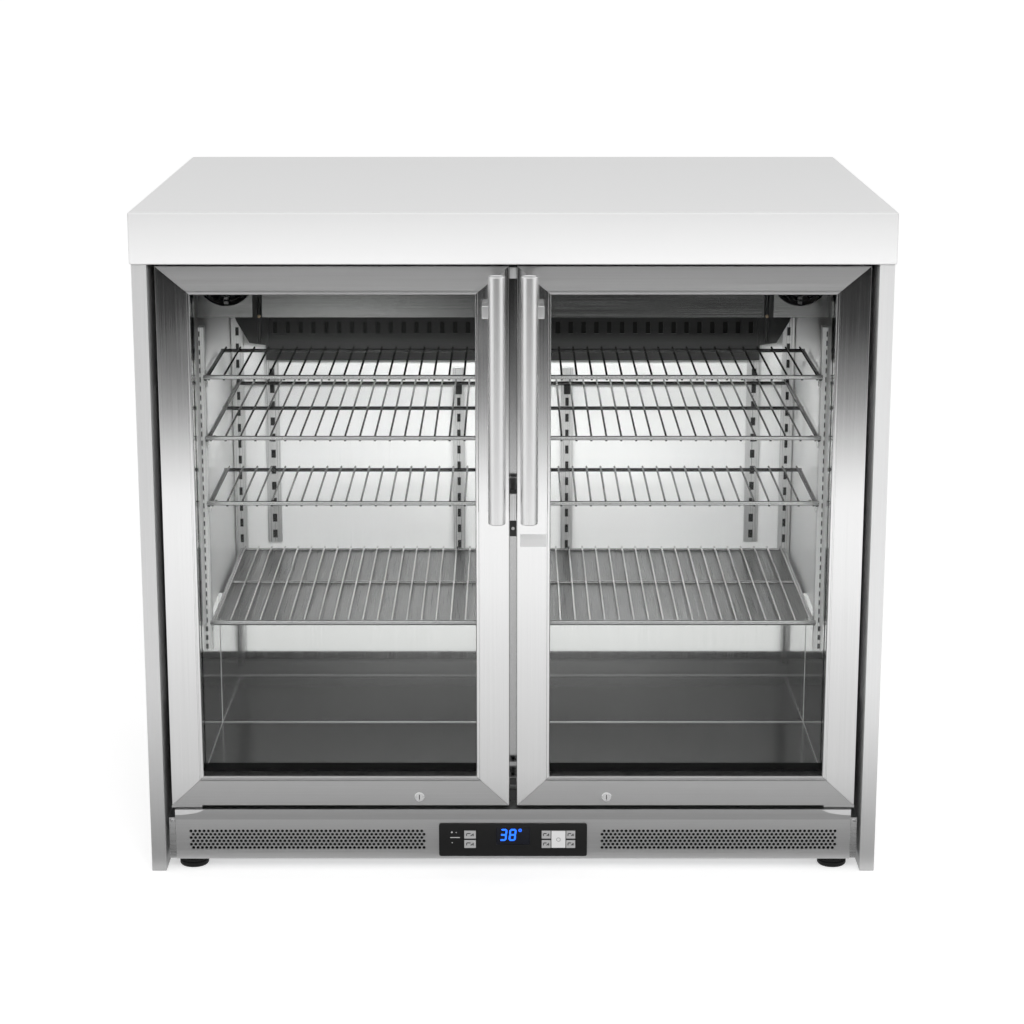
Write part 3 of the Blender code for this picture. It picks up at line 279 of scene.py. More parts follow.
# Shelf clips: an arm under the shelf, on a plate that overlaps the arm's lower part
CLIP_GAP = 0.0003
CLIP_HALF = 0.006
CLIP_REACH = 0.0115
CLIP_ARM = 0.003
CLIP_PLATE = 0.002
CLIP_LAP = 0.002
CLIP_HEIGHT = 0.016
BLACK_CLIP_HALF = 0.005
BLACK_CLIP_DEPTH = 0.008
BLACK_CLIP_EDGE = 0.0010

# Slotted strips
CORE_INSET = 0.0022
EDGE_SLOT_X = (0.4284, 0.4300)
EDGE_SLOT_PITCH = 0.0127
EDGE_SLOT_HALF = 0.0036
EDGE_SLOT_DEPTHS = (-0.0002, 0.0004)
BACK_STRIP_X = (0.358, 0.380)
BACK_STRIP_Z = (0.330, 0.640)
BACK_STRIP_THICKNESS = 0.0018
BACK_CORE_INSET = 0.002
BACK_CORE_DEPTH = 0.0004
SLOT_PITCH = 0.0254
SLOT_HALF = (0.0035, 0.0065)

# Evaporator front: plates end at the height of the cover's floor, and the skirt hangs below it
COVER_FLOOR = 0.7502
SKIRT_DEPTH = 0.004
SKIRT_BACKING_RISE = 0.002
PLATE_PROUD = 0.0015
FAN_PLATE_X = (0.3545, 0.4275)
FAN_HOLE_RADIUS = 0.038
DARK_GAP_X = (0.3415, 0.3545)
TUBE_X = 0.3453
TUBE_RADIUS = 0.0025
TUBE_Z = (0.716, 0.848)
COVER_SCREW_Z = 0.7525
COVER_SCREW_RADIUS = 0.0024
CHEEK = ((0.370, 0.7495), (0.4185, 0.7495), (0.4185, 0.682), (0.399, 0.648), (0.370, 0.644))
CHEEK_DEPTH = 0.514
GUARD_RINGS = (0.008, 0.014, 0.020, 0.026, 0.032, 0.0385)
GUARD_STAND = 0.0014
GUARD_WIRE = 0.0010
SPOKE_COUNT = 4
SPOKE_SINK = 0.0008
SPOKE_WIRE = 0.0011

# Back sheet: screw counts are those across and up, and black slits, painted shade for the openings, lie
# round the louvres' lower edges
BACK_PLATE_INSET = 0.030
BACK_PLATE_THICKNESS = 0.0015
BACK_SCREW_INSET = 0.012
BACK_SCREW_RADIUS = 0.0042
BACK_SCREWS = (6, 5)
BEAD_HEIGHTS = (0.42, 0.57, 0.72)
BEAD_HALF = 0.36
BEAD_RADIUS = 0.0045
LOUVRE_X = (-0.26, 0.0, 0.26)
LOUVRE_HALF = 0.09
LOUVRE_HEIGHTS = (0.175, 0.195, 0.215, 0.235, 0.255, 0.275)
LOUVRE_RISE = 0.005
LOUVRE_TALL = 0.008
LOUVRE_EDGE = 0.0022
SLIT_Z = (-0.004, 0.001)
SLIT_RISE = 0.0006

# Machine: pipes as points of X, depth and height, and the terminal box as spans of the same
PIPE_RADIUS = 0.004
SUCTION_PIPE = (
    (0.17, 0.642, 0.115), (0.17, 0.642, 0.132), (0.17, 0.637, 0.144), (0.17, 0.625, 0.149),
    (0.17, 0.608, 0.150), (0.17, 0.600, 0.154), (0.17, 0.597, 0.163), (0.17, 0.597, 0.330),
    (0.17, 0.594, 0.339), (0.17, 0.586, 0.342),
)
HOT_PIPE = (
    (0.298, 0.642, 0.082), (0.315, 0.642, 0.082), (0.323, 0.638, 0.080), (0.326, 0.625, 0.075),
    (0.326, 0.560, 0.055), (0.326, 0.472, 0.055), (0.321, 0.455, 0.055), (0.305, 0.450, 0.055),
    (-0.120, 0.450, 0.055), (-0.136, 0.445, 0.055), (-0.141, 0.429, 0.055), (-0.141, 0.137, 0.055),
    (-0.146, 0.121, 0.055), (-0.156, 0.115, 0.055),
)
TERMINAL_X = (0.072, 0.098)
TERMINAL_DEPTHS = (0.616, 0.668)
TERMINAL_Z = (0.052, 0.100)
TERMINAL_EDGE = 0.004


def at(depth):
    """World Y of a depth behind the side panels' front edges."""
    return FRONT_Y + depth


def sided(span, side):
    """A span on the right side, or its mirror image on the left side."""
    low, high = span
    return (low, high) if side > 0 else (-high, -low)


def around(middle, half):
    return (middle - half, middle + half)


def nodes_named(start):
    return [node for node in frame["nodes"] if node.startswith(start)]


def body_of(node):
    return frame["nodes"][node]["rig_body"]


# Materials

def new_material(name):
    """A new material and its node tree."""
    made = bpy.data.materials.new(name)
    made.use_nodes = True
    return made, made.node_tree


def feed(tree, node, inputs):
    """Sets a shader node's inputs, each to a value or to another node's output."""
    for socket, value in inputs.items():
        if isinstance(value, bpy.types.NodeSocket):
            tree.links.new(value, node.inputs[socket])
        else:
            node.inputs[socket].default_value = value


def surface(tree, inputs):
    """Sets inputs of a material's main shader."""
    feed(tree, tree.nodes["Principled BSDF"], inputs)


def output_of(tree, kind, output, inputs, **settings):
    """An output of a new shader node with these inputs and settings."""
    node = tree.nodes.new("ShaderNode" + kind)
    for word, value in settings.items():
        setattr(node, word, value)
    feed(tree, node, inputs)
    return node.outputs[output]


def maths(tree, operation, first, second):
    return output_of(tree, "Math", "Value", {0: first, 1: second}, operation=operation)


def light_path(tree, kind):
    return output_of(tree, "LightPath", kind, {})


def object_place(tree):
    """A point's place in the object's own metres."""
    return output_of(tree, "TexCoord", "Object", {})


def object_axis(tree, axis):
    return output_of(tree, "SeparateXYZ", axis, {"Vector": object_place(tree)})


def noise(tree, scale):
    """Noise in the object's own metres, stretched by a scale for each axis."""
    place = output_of(tree, "Mapping", "Vector", {"Vector": object_place(tree), "Scale": scale})
    inputs = {"Vector": place, "Scale": 1.0, "Detail": NOISE_DETAIL, "Roughness": 0.5}
    return output_of(tree, "TexNoise", "Fac", inputs)


def ranged(tree, value, low, high, start=0.3, end=0.7):
    """A value between start and end, most often a noise value, spread between two numbers."""
    inputs = {"Value": value, "From Min": start, "From Max": end, "To Min": low, "To Max": high}
    return output_of(tree, "MapRange", "Result", inputs)


def colour(level):
    """A shader's colour from a grey level or from three parts."""
    return (*level, 1) if isinstance(level, tuple) else (level, level, level, 1)


def blend(tree, factor, dark, light):
    """A colour between two others; a mix node's colours are its inputs 6 and 7 and its output 2."""
    inputs = {"Factor": factor, 6: colour(dark), 7: colour(light)}
    return output_of(tree, "Mix", 2, inputs, data_type="RGBA")


def tinted(tree, value, dark, light):
    """A colour between two others, led by a noise value."""
    return blend(tree, ranged(tree, value, 0, 1), dark, light)


def bumped(tree, value, strength, distance):
    inputs = {"Height": value, "Strength": strength, "Distance": distance}
    return output_of(tree, "Bump", "Normal", inputs)


def brushed(name, dark, light, roughness, along, anisotropic=0.0, metallic=1.0):
    """Brushed metal with its grain along one axis, 0 for X, 1 for Y or 2 for Z."""
    made, tree = new_material(name)
    scale = [GRAIN_ACROSS] * 3
    scale[along] = GRAIN_ALONG
    grain = noise(tree, scale)
    surface(tree, {
        "Base Color": tinted(tree, grain, dark, light),
        "Roughness": ranged(tree, grain, *around(roughness, 0.05)),
        "Normal": bumped(tree, grain, 0.05, 0.0002),
        "Metallic": metallic,
    })
    if anisotropic:
        across = output_of(tree, "CombineXYZ", "Vector", {"X" if along == 2 else "Z": 1.0})
        turned = output_of(
            tree, "VectorTransform", "Vector", {"Vector": across},
            vector_type="VECTOR", convert_from="OBJECT", convert_to="WORLD",
        )
        surface(tree, {"Anisotropic": anisotropic, "Tangent": turned})
    return made


def shaded(made, heights, shares):
    """Paints shade on a finish: scales its colour from one share of it to another between two heights."""
    tree = made.node_tree
    plain = tree.nodes["Principled BSDF"].inputs["Base Color"].links[0].from_socket
    level = ranged(tree, object_axis(tree, "Z"), *shares, *heights)
    level.node.interpolation_type = "SMOOTHSTEP"
    scaled = output_of(tree, "VectorMath", "Vector", {"Vector": plain, "Scale": level}, operation="SCALE")
    surface(tree, {"Base Color": scaled})
    return made


def panel_steel(word, level):
    """Brushed side panel with painted shade, darker near the floor."""
    steel = brushed("panel_steel_" + word, *around(level, 0.02), 0.48, 2, metallic=0.55)
    return shaded(steel, *PANEL_SHADE)


def moulded(name, dark, light, roughness, grain=1800.0, bump=0.08, metallic=0.0, shine=0.5):
    """A plain surface with fine mottling: plastic, rubber, paint or cast metal."""
    made, tree = new_material(name)
    speck = noise(tree, [grain] * 3)
    cloud = noise(tree, [CLOUD_SCALE] * 3)
    surface(tree, {
        "Base Color": tinted(tree, cloud, dark, light),
        "Roughness": ranged(tree, speck, *around(roughness, 0.04)),
        "Normal": bumped(tree, speck, bump, 0.0003),
        "Metallic": metallic,
        "Specular IOR Level": shine,
    })
    return made


def worktop_white():
    """White worktop paint with painted light, a little lighter towards the lower edge of the apron."""
    made, tree = new_material("worktop_white")
    low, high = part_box("worktop")
    # Painted light: the colour is lighter towards the apron's lower edge
    painted_light_share = ranged(tree, object_axis(tree, "Z"), 1, 0, low.z, high.z)
    speck = noise(tree, [900.0] * 3)
    surface(tree, {
        "Base Color": blend(tree, painted_light_share, 0.70, 0.86),
        "Roughness": ranged(tree, speck, 0.38, 0.46),
        "Normal": bumped(tree, speck, 0.03, 0.0002),
    })
    return made


def clear_glass():
    """Glass that lets light straight through to what is behind it."""
    made, tree = new_material("clear_glass")
    smear = noise(tree, [14.0] * 3)
    surface(tree, {
        "Base Color": colour((0.985, 0.99, 0.985)),
        "Transmission Weight": 1.0,
        "IOR": 1.13,
        "Roughness": ranged(tree, smear, 0.0, 0.02),
    })
    glass = tree.nodes["Principled BSDF"].outputs["BSDF"]
    clear = output_of(tree, "BsdfTransparent", "BSDF", {})
    shadow = light_path(tree, "Is Shadow Ray")
    mixed = output_of(tree, "MixShader", "Shader", {"Fac": shadow, 1: glass, 2: clear})
    feed(tree, tree.nodes["Material Output"], {"Surface": mixed})
    return made


def glowing(name, hue, strength):
    """A lit display segment."""
    made, tree = new_material(name)
    flicker = noise(tree, [400.0] * 3)
    dim = tuple(0.8 * part for part in hue)
    surface(tree, {
        "Base Color": colour(hue),
        "Emission Color": tinted(tree, flicker, dim, hue),
        "Emission Strength": strength,
    })
    return made


WORKTOP = worktop_white()
# Painted light: the right panel is a lighter copy of the same steel, as if lit from the right
PANELS = {"left": panel_steel("left", 0.77), "right": panel_steel("right", 0.92)}
# Painted shade: the level rails are painted a little darker than the uprights of the same door steel
STILE = brushed("door_steel_upright", 0.68, 0.72, 0.11, 2, 0.8)
RAIL = brushed("door_steel_level", 0.61, 0.65, 0.34, 0, 0.7)
HANDLE = brushed("handle_steel", 0.88, 0.92, 0.32, 2)
# Painted shade: the grille is painted darker along a band at its top
GRILLE = shaded(brushed("grille_steel", 0.70, 0.75, 0.36, 0, 0.5), *GRILLE_SHADE)
FRAME = brushed("frame_steel", 0.38, 0.43, 0.12, 2, 0.7)
# Painted shade: the liner is painted darker towards the top of the cabinet
LINER = shaded(brushed("liner_steel", 0.90, 0.95, 0.36, 2, metallic=0.12), *LINER_SHADE)
STRIP = brushed("strip_steel", 0.66, 0.74, 0.3, 2, metallic=0.6)
PALE_STRIP = brushed("pale_strip_steel", 0.82, 0.88, 0.3, 2, metallic=0.4)
# Painted highlight: bright steel for the pan's seams
SEAM_HIGHLIGHT = brushed("seam_highlight_steel", 0.84, 0.90, 0.3, 0, metallic=0.3)
CABINET = brushed("cabinet_steel", 0.55, 0.60, 0.4, 2)
COVER = brushed("cover_steel", 0.55, 0.60, 0.09, 0)
FAN_PLATE = brushed("fan_plate_steel", 0.44, 0.50, 0.2, 0, metallic=0.85)
# Painted shade: the skirt and cheeks under the evaporator cover are painted nearly black, and darker
# still towards the skirt's top
DARK_SHEET = shaded(brushed("dark_sheet", 0.080, 0.095, 0.35, 0, metallic=0.9), *SKIRT_SHADE)
# Painted shade: the pan's floor is a darker copy of the steel of its upright back
PAN = brushed("pan_steel", 0.34, 0.39, 0.15, 1)
PAN_WALL = brushed("pan_wall_steel", 0.80, 0.85, 0.06, 2, 0.8, metallic=0.9)
DECK = brushed("deck_steel", 0.30, 0.36, 0.3, 1)
PLATE = brushed("plate_steel", 0.70, 0.74, 0.36, 0, metallic=0.4)
HINGE = brushed("hinge_steel", 0.62, 0.68, 0.3, 0)
GALVANISED = moulded("galvanised", (0.38, 0.39, 0.40), (0.50, 0.51, 0.52), 0.45, 220.0, metallic=0.9)
WIRE = moulded("shelf_wire", 0.11, 0.15, 0.22, 900.0, 0.02, metallic=1.0)
ROD = moulded("shelf_rod", 0.70, 0.78, 0.2, 900.0, 0.02, metallic=0.92)
CHROME = moulded("lock_chrome", 0.74, 0.80, 0.16, 900.0, 0.02, metallic=1.0)
COPPER = moulded("copper_pipe", (0.46, 0.22, 0.12), (0.56, 0.29, 0.17), 0.3, 600.0, 0.03, metallic=1.0)
BRASS = moulded("brass_screw", (0.42, 0.32, 0.22), (0.52, 0.40, 0.28), 0.3, 900.0, 0.02, metallic=1.0)
RUBBER = moulded("gasket_rubber", 0.012, 0.020, 0.6)
FOOT = moulded("foot_rubber", 0.004, 0.008, 0.5, shine=0.2)
BLACK = moulded("control_black", 0.004, 0.006, 0.40, bump=0.02)
SCREEN = moulded("display", (0.004, 0.005, 0.010), (0.006, 0.007, 0.013), 0.2, bump=0.01)
WHITE_KEY = moulded("white_key", 0.70, 0.76, 0.45)
GREY_KEY = moulded("grey_key", 0.40, 0.46, 0.45)
INK = moulded("key_ink", 0.03, 0.05, 0.5)
GREY_INK = moulded("power_ink", 0.34, 0.40, 0.5)
PALE_INK = moulded("panel_ink", 0.60, 0.68, 0.5)
SLOT = moulded("slot_black", 0.003, 0.005, 0.8, shine=0.0)
FAN = moulded("fan_plastic", 0.010, 0.016, 0.42)
COIL = moulded("coil_metal", 0.55, 0.66, 0.36, 300.0, metallic=0.9)
PAINT = moulded("compressor_paint", 0.012, 0.020, 0.35)
FOAM = moulded("foam", (0.72, 0.62, 0.38), (0.80, 0.72, 0.48), 0.8, 240.0, 0.5)
SPACER = moulded("spacer", 0.03, 0.045, 0.5, metallic=0.6)
GLASS = clear_glass()
DIGIT = glowing("display_digit", (0.012, 0.13, 1.0), 1.6)


# Shapes

def add(name, shape, finishes, slot=None, body="cabinet", node=None):
    """Makes a piece of a shape. It rides on a body, or stands for a CAD node on that node's body."""
    if node:
        body, slot = body_of(node), SLOTS[node]
    mesh = bpy.data.meshes.new(name)
    shape.to_mesh(mesh)
    shape.free()
    for finish in finishes if isinstance(finishes, list) else [finishes]:
        mesh.materials.append(finish)
    mesh.shade_smooth()
    mesh.set_sharp_from_angle(angle=SMOOTH_ANGLE)
    piece = bpy.data.objects.new(name, mesh)
    bpy.context.scene.collection.objects.link(piece)
    piece.modifiers.new("flat faces", "WEIGHTED_NORMAL").keep_sharp = True
    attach(piece, body)
    if node:
        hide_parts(node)
    return piece


def round_edges(shape, width, steps):
    """Rounds every sharp edge of a shape."""
    edges = [
        edge for edge in shape.edges if len(edge.link_faces) == 2 and edge.calc_face_angle() > SHARP_ANGLE
    ]
    bmesh.ops.bevel(
        shape, geom=edges, offset=width, segments=steps, profile=0.5, affect="EDGES", clamp_overlap=True
    )


def softened(node, finishes, steps=ROUND_STEPS):
    """A CAD node's own shape with rounded edges, which stands for it."""
    width = next((edge for start, edge in NODE_EDGES.items() if node.startswith(start)), PLAIN_EDGE)
    shape = bmesh.new()
    shape.from_mesh(frame["nodes"][node].data)
    bmesh.ops.remove_doubles(shape, verts=shape.verts, dist=WELD_DISTANCE)
    bmesh.ops.dissolve_limit(shape, angle_limit=FLAT_ANGLE, verts=shape.verts, edges=shape.edges)
    round_edges(shape, width, steps)
    return add(node + "_finished", shape, finishes, node=node)


def kept(node, finish):
    """A CAD node that shows as it is, with a better material."""
    slots = frame["nodes"][node].data.materials
    slots.clear()
    slots.append(finish)


def join(shape, part, matrix=None):
    """Moves a part's faces into a shape."""
    if matrix:
        bmesh.ops.transform(part, matrix=matrix, verts=part.verts)
    made = {vertex: shape.verts.new(vertex.co) for vertex in part.verts}
    for face in part.faces:
        new = shape.faces.new([made[vertex] for vertex in face.verts])
        new.material_index = face.material_index
    part.free()


def add_box(shape, x, y, z, width=0.0, steps=ROUND_STEPS):
    """Adds a box with rounded edges to a shape, from its span on each axis."""
    spans = (x, y, z)
    part = bmesh.new()
    bmesh.ops.create_cube(part, size=1.0)
    bmesh.ops.scale(part, vec=[high - low for low, high in spans], verts=part.verts)
    bmesh.ops.translate(part, vec=[(low + high) / 2 for low, high in spans], verts=part.verts)
    if width:
        round_edges(part, width, steps)
    join(shape, part)


def around_circle(x, y, radius, sides, shift=0.0):
    """Points round a circle, turned by a share of a step."""
    points = []
    for step in range(sides):
        angle = 2 * math.pi * (step + shift) / sides
        points.append((x + radius * math.cos(angle), y + radius * math.sin(angle)))
    return points


def circle(x, z, radius, sides):
    """Points round a circle with a flat side at the right."""
    return around_circle(x, z, radius, sides, 0.5)


def ring_round(shape, point, run, radius, sides):
    """Points round a bar, square to the way it runs; a bar along Y is set out from Z instead of Y."""
    guide = Vector((0, 1, 0)) if abs(run.y) < ALONG_Y else Vector((0, 0, 1))
    across = run.cross(guide).normalized()
    up = across.cross(run)
    steps = around_circle(0, 0, radius, sides)
    return [shape.verts.new(point + across * right + up * rise) for right, rise in steps]


def bridge(shape, rings):
    """Walls between rings of points that follow each other."""
    faces = []
    for first, second in zip(rings, rings[1:]):
        for step, corner in enumerate(first):
            following = (step + 1) % len(first)
            faces.append(shape.faces.new((corner, second[step], second[following], first[following])))
    return faces


def add_tube(shape, points, radius, sides, material=0, closed=False):
    """Adds a round bar along a line of points, with flat ends or closed on itself."""
    points = [Vector(point) for point in points]
    line = [points[-1], *points, points[0]] if closed else [points[0], *points, points[-1]]
    rings = []
    for before, point, after in zip(line, points, line[2:]):
        rings.append(ring_round(shape, point, (after - before).normalized(), radius, sides))
    if closed:
        bridge(shape, [*rings, rings[0]])
        return
    faces = bridge(shape, rings)
    faces.append(shape.faces.new(rings[0]))
    faces.append(shape.faces.new(list(reversed(rings[-1]))))
    for face in faces:
        face.material_index = material


def add_turned(shape, profile, place, sides, axis="Z"):
    """Adds a turned form from (radius, height) points that run down its outer side.

    A point on the axis is one corner for all the faces round it, which are triangles.
    """
    part = bmesh.new()
    rings = []
    for radius, height in profile:
        points = around_circle(0, 0, radius, sides) if radius else [(0, 0)]
        rings.append([part.verts.new((*point, height)) for point in points])
    for upper, lower in zip(rings, rings[1:]):
        for step in range(sides):
            corners = [upper[step % len(upper)], lower[step % len(lower)]]
            corners += [lower[(step + 1) % len(lower)], upper[(step + 1) % len(upper)]]
            part.faces.new(list(dict.fromkeys(corners)))
    angle = math.radians({"Z": 0, "-Y": 90, "Y": -90}[axis])
    join(shape, part, Matrix.Translation(place) @ Matrix.Rotation(angle, 4, "X"))


def add_screw(shape, place, radius, axis="-Y"):
    """Adds a domed screw head that faces the front, or the back with the axis "Y"."""
    rise = radius * SCREW_RISE
    profile = [(radius * across, rise * up) for across, up in SCREW_DOME]
    add_turned(shape, profile, place, sides=16, axis=axis)


def sheet(outline, holes, thickness, middle_y):
    """An upright sheet with holes, drawn in X and Z, about a middle Y."""
    drawing = bpy.data.curves.new("sheet", "CURVE")
    drawing.dimensions = "2D"
    drawing.fill_mode = "BOTH"
    drawing.extrude = thickness / 2
    for loop in [outline, *holes]:
        spline = drawing.splines.new("POLY")
        spline.points.add(len(loop) - 1)
        spline.use_cyclic_u = True
        for point, (x, z) in zip(spline.points, loop):
            point.co = (x, z, 0, 1)
    holder = bpy.data.objects.new("sheet", drawing)
    bpy.context.scene.collection.objects.link(holder)
    graph = bpy.context.evaluated_depsgraph_get()
    mesh = bpy.data.meshes.new_from_object(holder.evaluated_get(graph))
    bpy.data.objects.remove(holder)
    shape = bmesh.new()
    shape.from_mesh(mesh)
    bpy.data.meshes.remove(mesh)
    bmesh.ops.remove_doubles(shape, verts=shape.verts, dist=SHEET_WELD_DISTANCE)
    bmesh.ops.recalc_face_normals(shape, faces=shape.faces)
    upright = Matrix.Rotation(math.radians(90), 4, "X")
    bmesh.ops.transform(shape, matrix=Matrix.Translation((0, middle_y, 0)) @ upright, verts=shape.verts)
    return shape


def rectangle(x, z):
    """Corners of a rectangle from its spans."""
    return [(x[0], z[0]), (x[1], z[0]), (x[1], z[1]), (x[0], z[1])]


# Housing and cabinet

def dress_housing():
    softened("worktop", WORKTOP, FINE_STEPS)
    for word, steel in PANELS.items():
        softened("side_panel_" + word, steel)


def dress_cabinet():
    softened("cabinet_shell", CABINET)
    softened("liner", LINER)
    softened("face_frame", FRAME)
    dress_pan()
    softened("base_chassis", GALVANISED)
    kept("insulation", FOAM)
    for side, word in SIDES:
        softened("hinge_bracket_" + word, HINGE)
        dress_hinge(side, word)


def dress_hinge(side, word):
    """The hinge's curved cover over the corner of the grille, and the washer under the door."""
    middle_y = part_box("kick_grille")[0].y - HINGE_PLATE_THICKNESS / 2
    shape = sheet([(side * x, z) for x, z in HINGE_PLATE], [], HINGE_PLATE_THICKNESS, middle_y)
    depths = [at(depth) for depth in WASHER_DEPTHS]
    add_box(shape, sided(WASHER_X, side), depths, WASHER_Z, PLAIN_EDGE)
    add("hinge_cover_" + word, shape, PLATE, SLOTS["hinge_bracket_" + word])


def dress_pan():
    """The floor sheet, painted dark as painted shade, with its bright upright back, and bright sheets on
    the walls beside it.
    """
    low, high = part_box("floor_pan")
    pan = softened("floor_pan", [PAN, PAN_WALL])
    floor_top = low.z + PAN_FLOOR
    for face in pan.data.polygons:
        if face.center.z > floor_top:
            face.material_index = 1
    sheets = bmesh.new()
    depths = (low.y + PAN_SIDE_START, high.y - PAN_SIDE_END)
    for side, _ in SIDES:
        span = sided((high.x - PAN_SIDE_SHEET, high.x), side)
        add_box(sheets, span, depths, (floor_top, high.z), PAN_SIDE_EDGE)
    add("pan_sides", sheets, PAN_WALL, "pan_steel")
    dress_pan_seams(low, high)


def dress_pan_seams(low, high):
    """Rolled seams along the floor sheet's edges and up the corners of its back, painted bright as
    painted highlight lines.
    """
    seams = bmesh.new()
    edge = high.x - SEAM_RADIUS
    front, back = low.y + SEAM_RADIUS, high.y - PAN_SHEET - SEAM_RADIUS
    floor = low.z + PAN_SHEET + SEAM_RADIUS
    add_tube(seams, ((-edge, back, floor), (edge, back, floor)), SEAM_RADIUS, sides=8)
    lip_y, lip_z = low.y + LIP_RADIUS, low.z + PAN_SHEET + LIP_RADIUS
    add_tube(seams, ((-edge, lip_y, lip_z), (edge, lip_y, lip_z)), LIP_RADIUS, sides=10)
    for x in (-edge, edge):
        add_tube(seams, ((x, front, floor), (x, back, floor)), SEAM_RADIUS, sides=8)
        add_tube(seams, ((x, back, floor), (x, back, high.z)), SEAM_RADIUS, sides=8)
    add("pan_seam_highlights", seams, SEAM_HIGHLIGHT, "pan_steel")


def dress_gap():
    """Fittings on the centre post, seen between the doors, with low black blocks of painted shade, and
    strips beside the cabinet, painted light.
    """
    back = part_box("face_frame")[0].y
    front = back - FITTING_DEPTH
    pale = bmesh.new()
    black = bmesh.new()
    for shape, spans in ((pale, PALE_FITTINGS), (black, BLACK_FITTINGS_AND_SHADE_BLOCKS)):
        for span in spans:
            add_box(shape, around(0, FITTING_HALF), (front, back), span, SMALL_EDGE)
    add_screw(pale, (0, front, CATCH_HEIGHT), CATCH_RADIUS)
    add("centre_fittings", pale, STRIP, "frame_steel")
    # The black pieces are a catch clip and, low on the post, blocks of painted shade
    add("centre_catch_and_shade_blocks", black, FAN)
    # Painted light: pale strips over part of the gaps beside the cabinet
    strips = bmesh.new()
    depths = [at(depth) for depth in GAP_STRIP_DEPTHS]
    for side, _ in SIDES:
        add_box(strips, sided(GAP_STRIP_X, side), depths, GAP_STRIP_Z, SMALL_EDGE)
    add("gap_strips", strips, STRIP, "frame_steel")


# Doors

def add_member(shape, span, inner_span, edge, inner_edge, depths, material, turn):
    """Adds one mitred bar of a door frame, from its outer edge to the bead round the glass.

    The bar runs along X from span, at its outer edge, to inner_span, at its inner edge.
    """
    front, back = depths
    inward = 1 if inner_edge > edge else -1
    width = abs(inner_edge - edge)
    profile = [(reach, front + depth) for reach, depth in OUTER_EDGE]
    profile += [(width - reach, front + depth) for reach, depth in BEAD]
    profile += [(width, back), (0.0, back)]
    part = bmesh.new()
    ends = ([], [])
    for reach, depth in profile:
        for end, shift in ((0, MITRE_GAP), (1, -MITRE_GAP)):
            along = span[end] + (inner_span[end] - span[end]) * reach / width + shift
            ends[end].append(part.verts.new((along, depth, edge + inward * reach)))
    count = len(profile)
    for index in range(count):
        following = (index + 1) % count
        part.faces.new((ends[0][index], ends[0][following], ends[1][following], ends[1][index]))
    part.faces.new(list(reversed(ends[0])))
    part.faces.new(ends[1])
    bmesh.ops.recalc_face_normals(part, faces=part.faces)
    for face in part.faces:
        face.material_index = material
    join(shape, part, turn)


def dress_door(side, word):
    node = "door_frame_" + word
    low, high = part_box(node)
    pane_low, pane_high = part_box("glass_outer_" + word)
    outer_x, depths, outer_z = zip(low, high)
    inner_x = (pane_low.x + PANE_BITE, pane_high.x - PANE_BITE)
    inner_z = (pane_low.z + PANE_BITE, pane_high.z - PANE_BITE)
    level = Matrix.Identity(4)
    upright = Matrix(((0, 0, 1, 0), (0, 1, 0, 0), (1, 0, 0, 0), (0, 0, 0, 1)))
    shape = bmesh.new()
    for end in (0, 1):
        add_member(shape, outer_x, inner_x, outer_z[end], inner_z[end], depths, 1, level)
    for end in (0, 1):
        add_member(shape, outer_z, inner_z, outer_x[end], inner_x[end], depths, 0, upright)
    bmesh.ops.recalc_face_normals(shape, faces=shape.faces)
    add("frame_" + word, shape, [STILE, RAIL], node=node)
    softened("glass_outer_" + word, GLASS)
    softened("glass_inner_" + word, GLASS)
    softened("glass_spacer_" + word, SPACER)
    softened("gasket_" + word, RUBBER, FINE_STEPS)
    dress_seal(side, word, inner_x, inner_z)
    dress_handle(side, word)
    dress_lock(word)
    if word == "right":
        plate = bmesh.new()
        add_box(plate, PLATE_X, around(low.y, PLATE_DEPTH), PLATE_Z, PLATE_DEPTH / 2)
        add("bare_plate", plate, PLATE, "door_steel", body_of(node))


def dress_seal(side, word, inner_x, inner_z):
    """The glazing's dark edge, low on the glass and up its outer side."""
    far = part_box("glass_spacer_" + word)[1].y
    depths = (far - SEAL_THICKNESS, far)
    bottom, top = inner_z
    shape = bmesh.new()
    add_box(shape, inner_x, depths, (bottom, bottom + SEAL_HEIGHT))
    edge = inner_x[1] if side > 0 else inner_x[0]
    add_box(shape, sorted((edge, edge - side * SEAL_SIDE)), depths, (bottom + SEAL_HEIGHT, top))
    add("edge_seal_" + word, shape, SLOT, body=body_of("door_frame_" + word))


def dress_handle(side, word):
    """A round bar with a dished top, on an upper post beside it and a lower post behind it."""
    node = "handle_" + word
    low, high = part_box(node)
    radius = HANDLE_RADIUS
    centre_x = high.x - radius if side < 0 else low.x + radius
    centre_y = low.y + radius
    profile = (
        (0, high.z - HANDLE_DISH),
        (radius - HANDLE_RIM, high.z - HANDLE_DISH),
        (radius - HANDLE_RIM + HANDLE_DISH / 2, high.z),
        (radius - HANDLE_EDGE, high.z),
        (radius, high.z - HANDLE_EDGE),
        (radius, low.z + HANDLE_EDGE),
        (radius - HANDLE_EDGE, low.z),
        (0, low.z),
    )
    shape = bmesh.new()
    add_turned(shape, profile, (centre_x, centre_y, 0), sides=48)
    depths = (centre_y + POST_SINK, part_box("door_frame_" + word)[0].y)
    upper_x = sorted((centre_x + side * POST_SINK, centre_x + side * POST_REACH))
    lower_x = around(centre_x, POST_WIDTH / 2)
    for span, height in ((upper_x, high.z - UPPER_POST), (lower_x, low.z + LOWER_POST)):
        add_box(shape, span, depths, around(height, POST_HALF), POST_EDGE, FINE_STEPS)
    add("grip_" + word, shape, HANDLE, node=node)


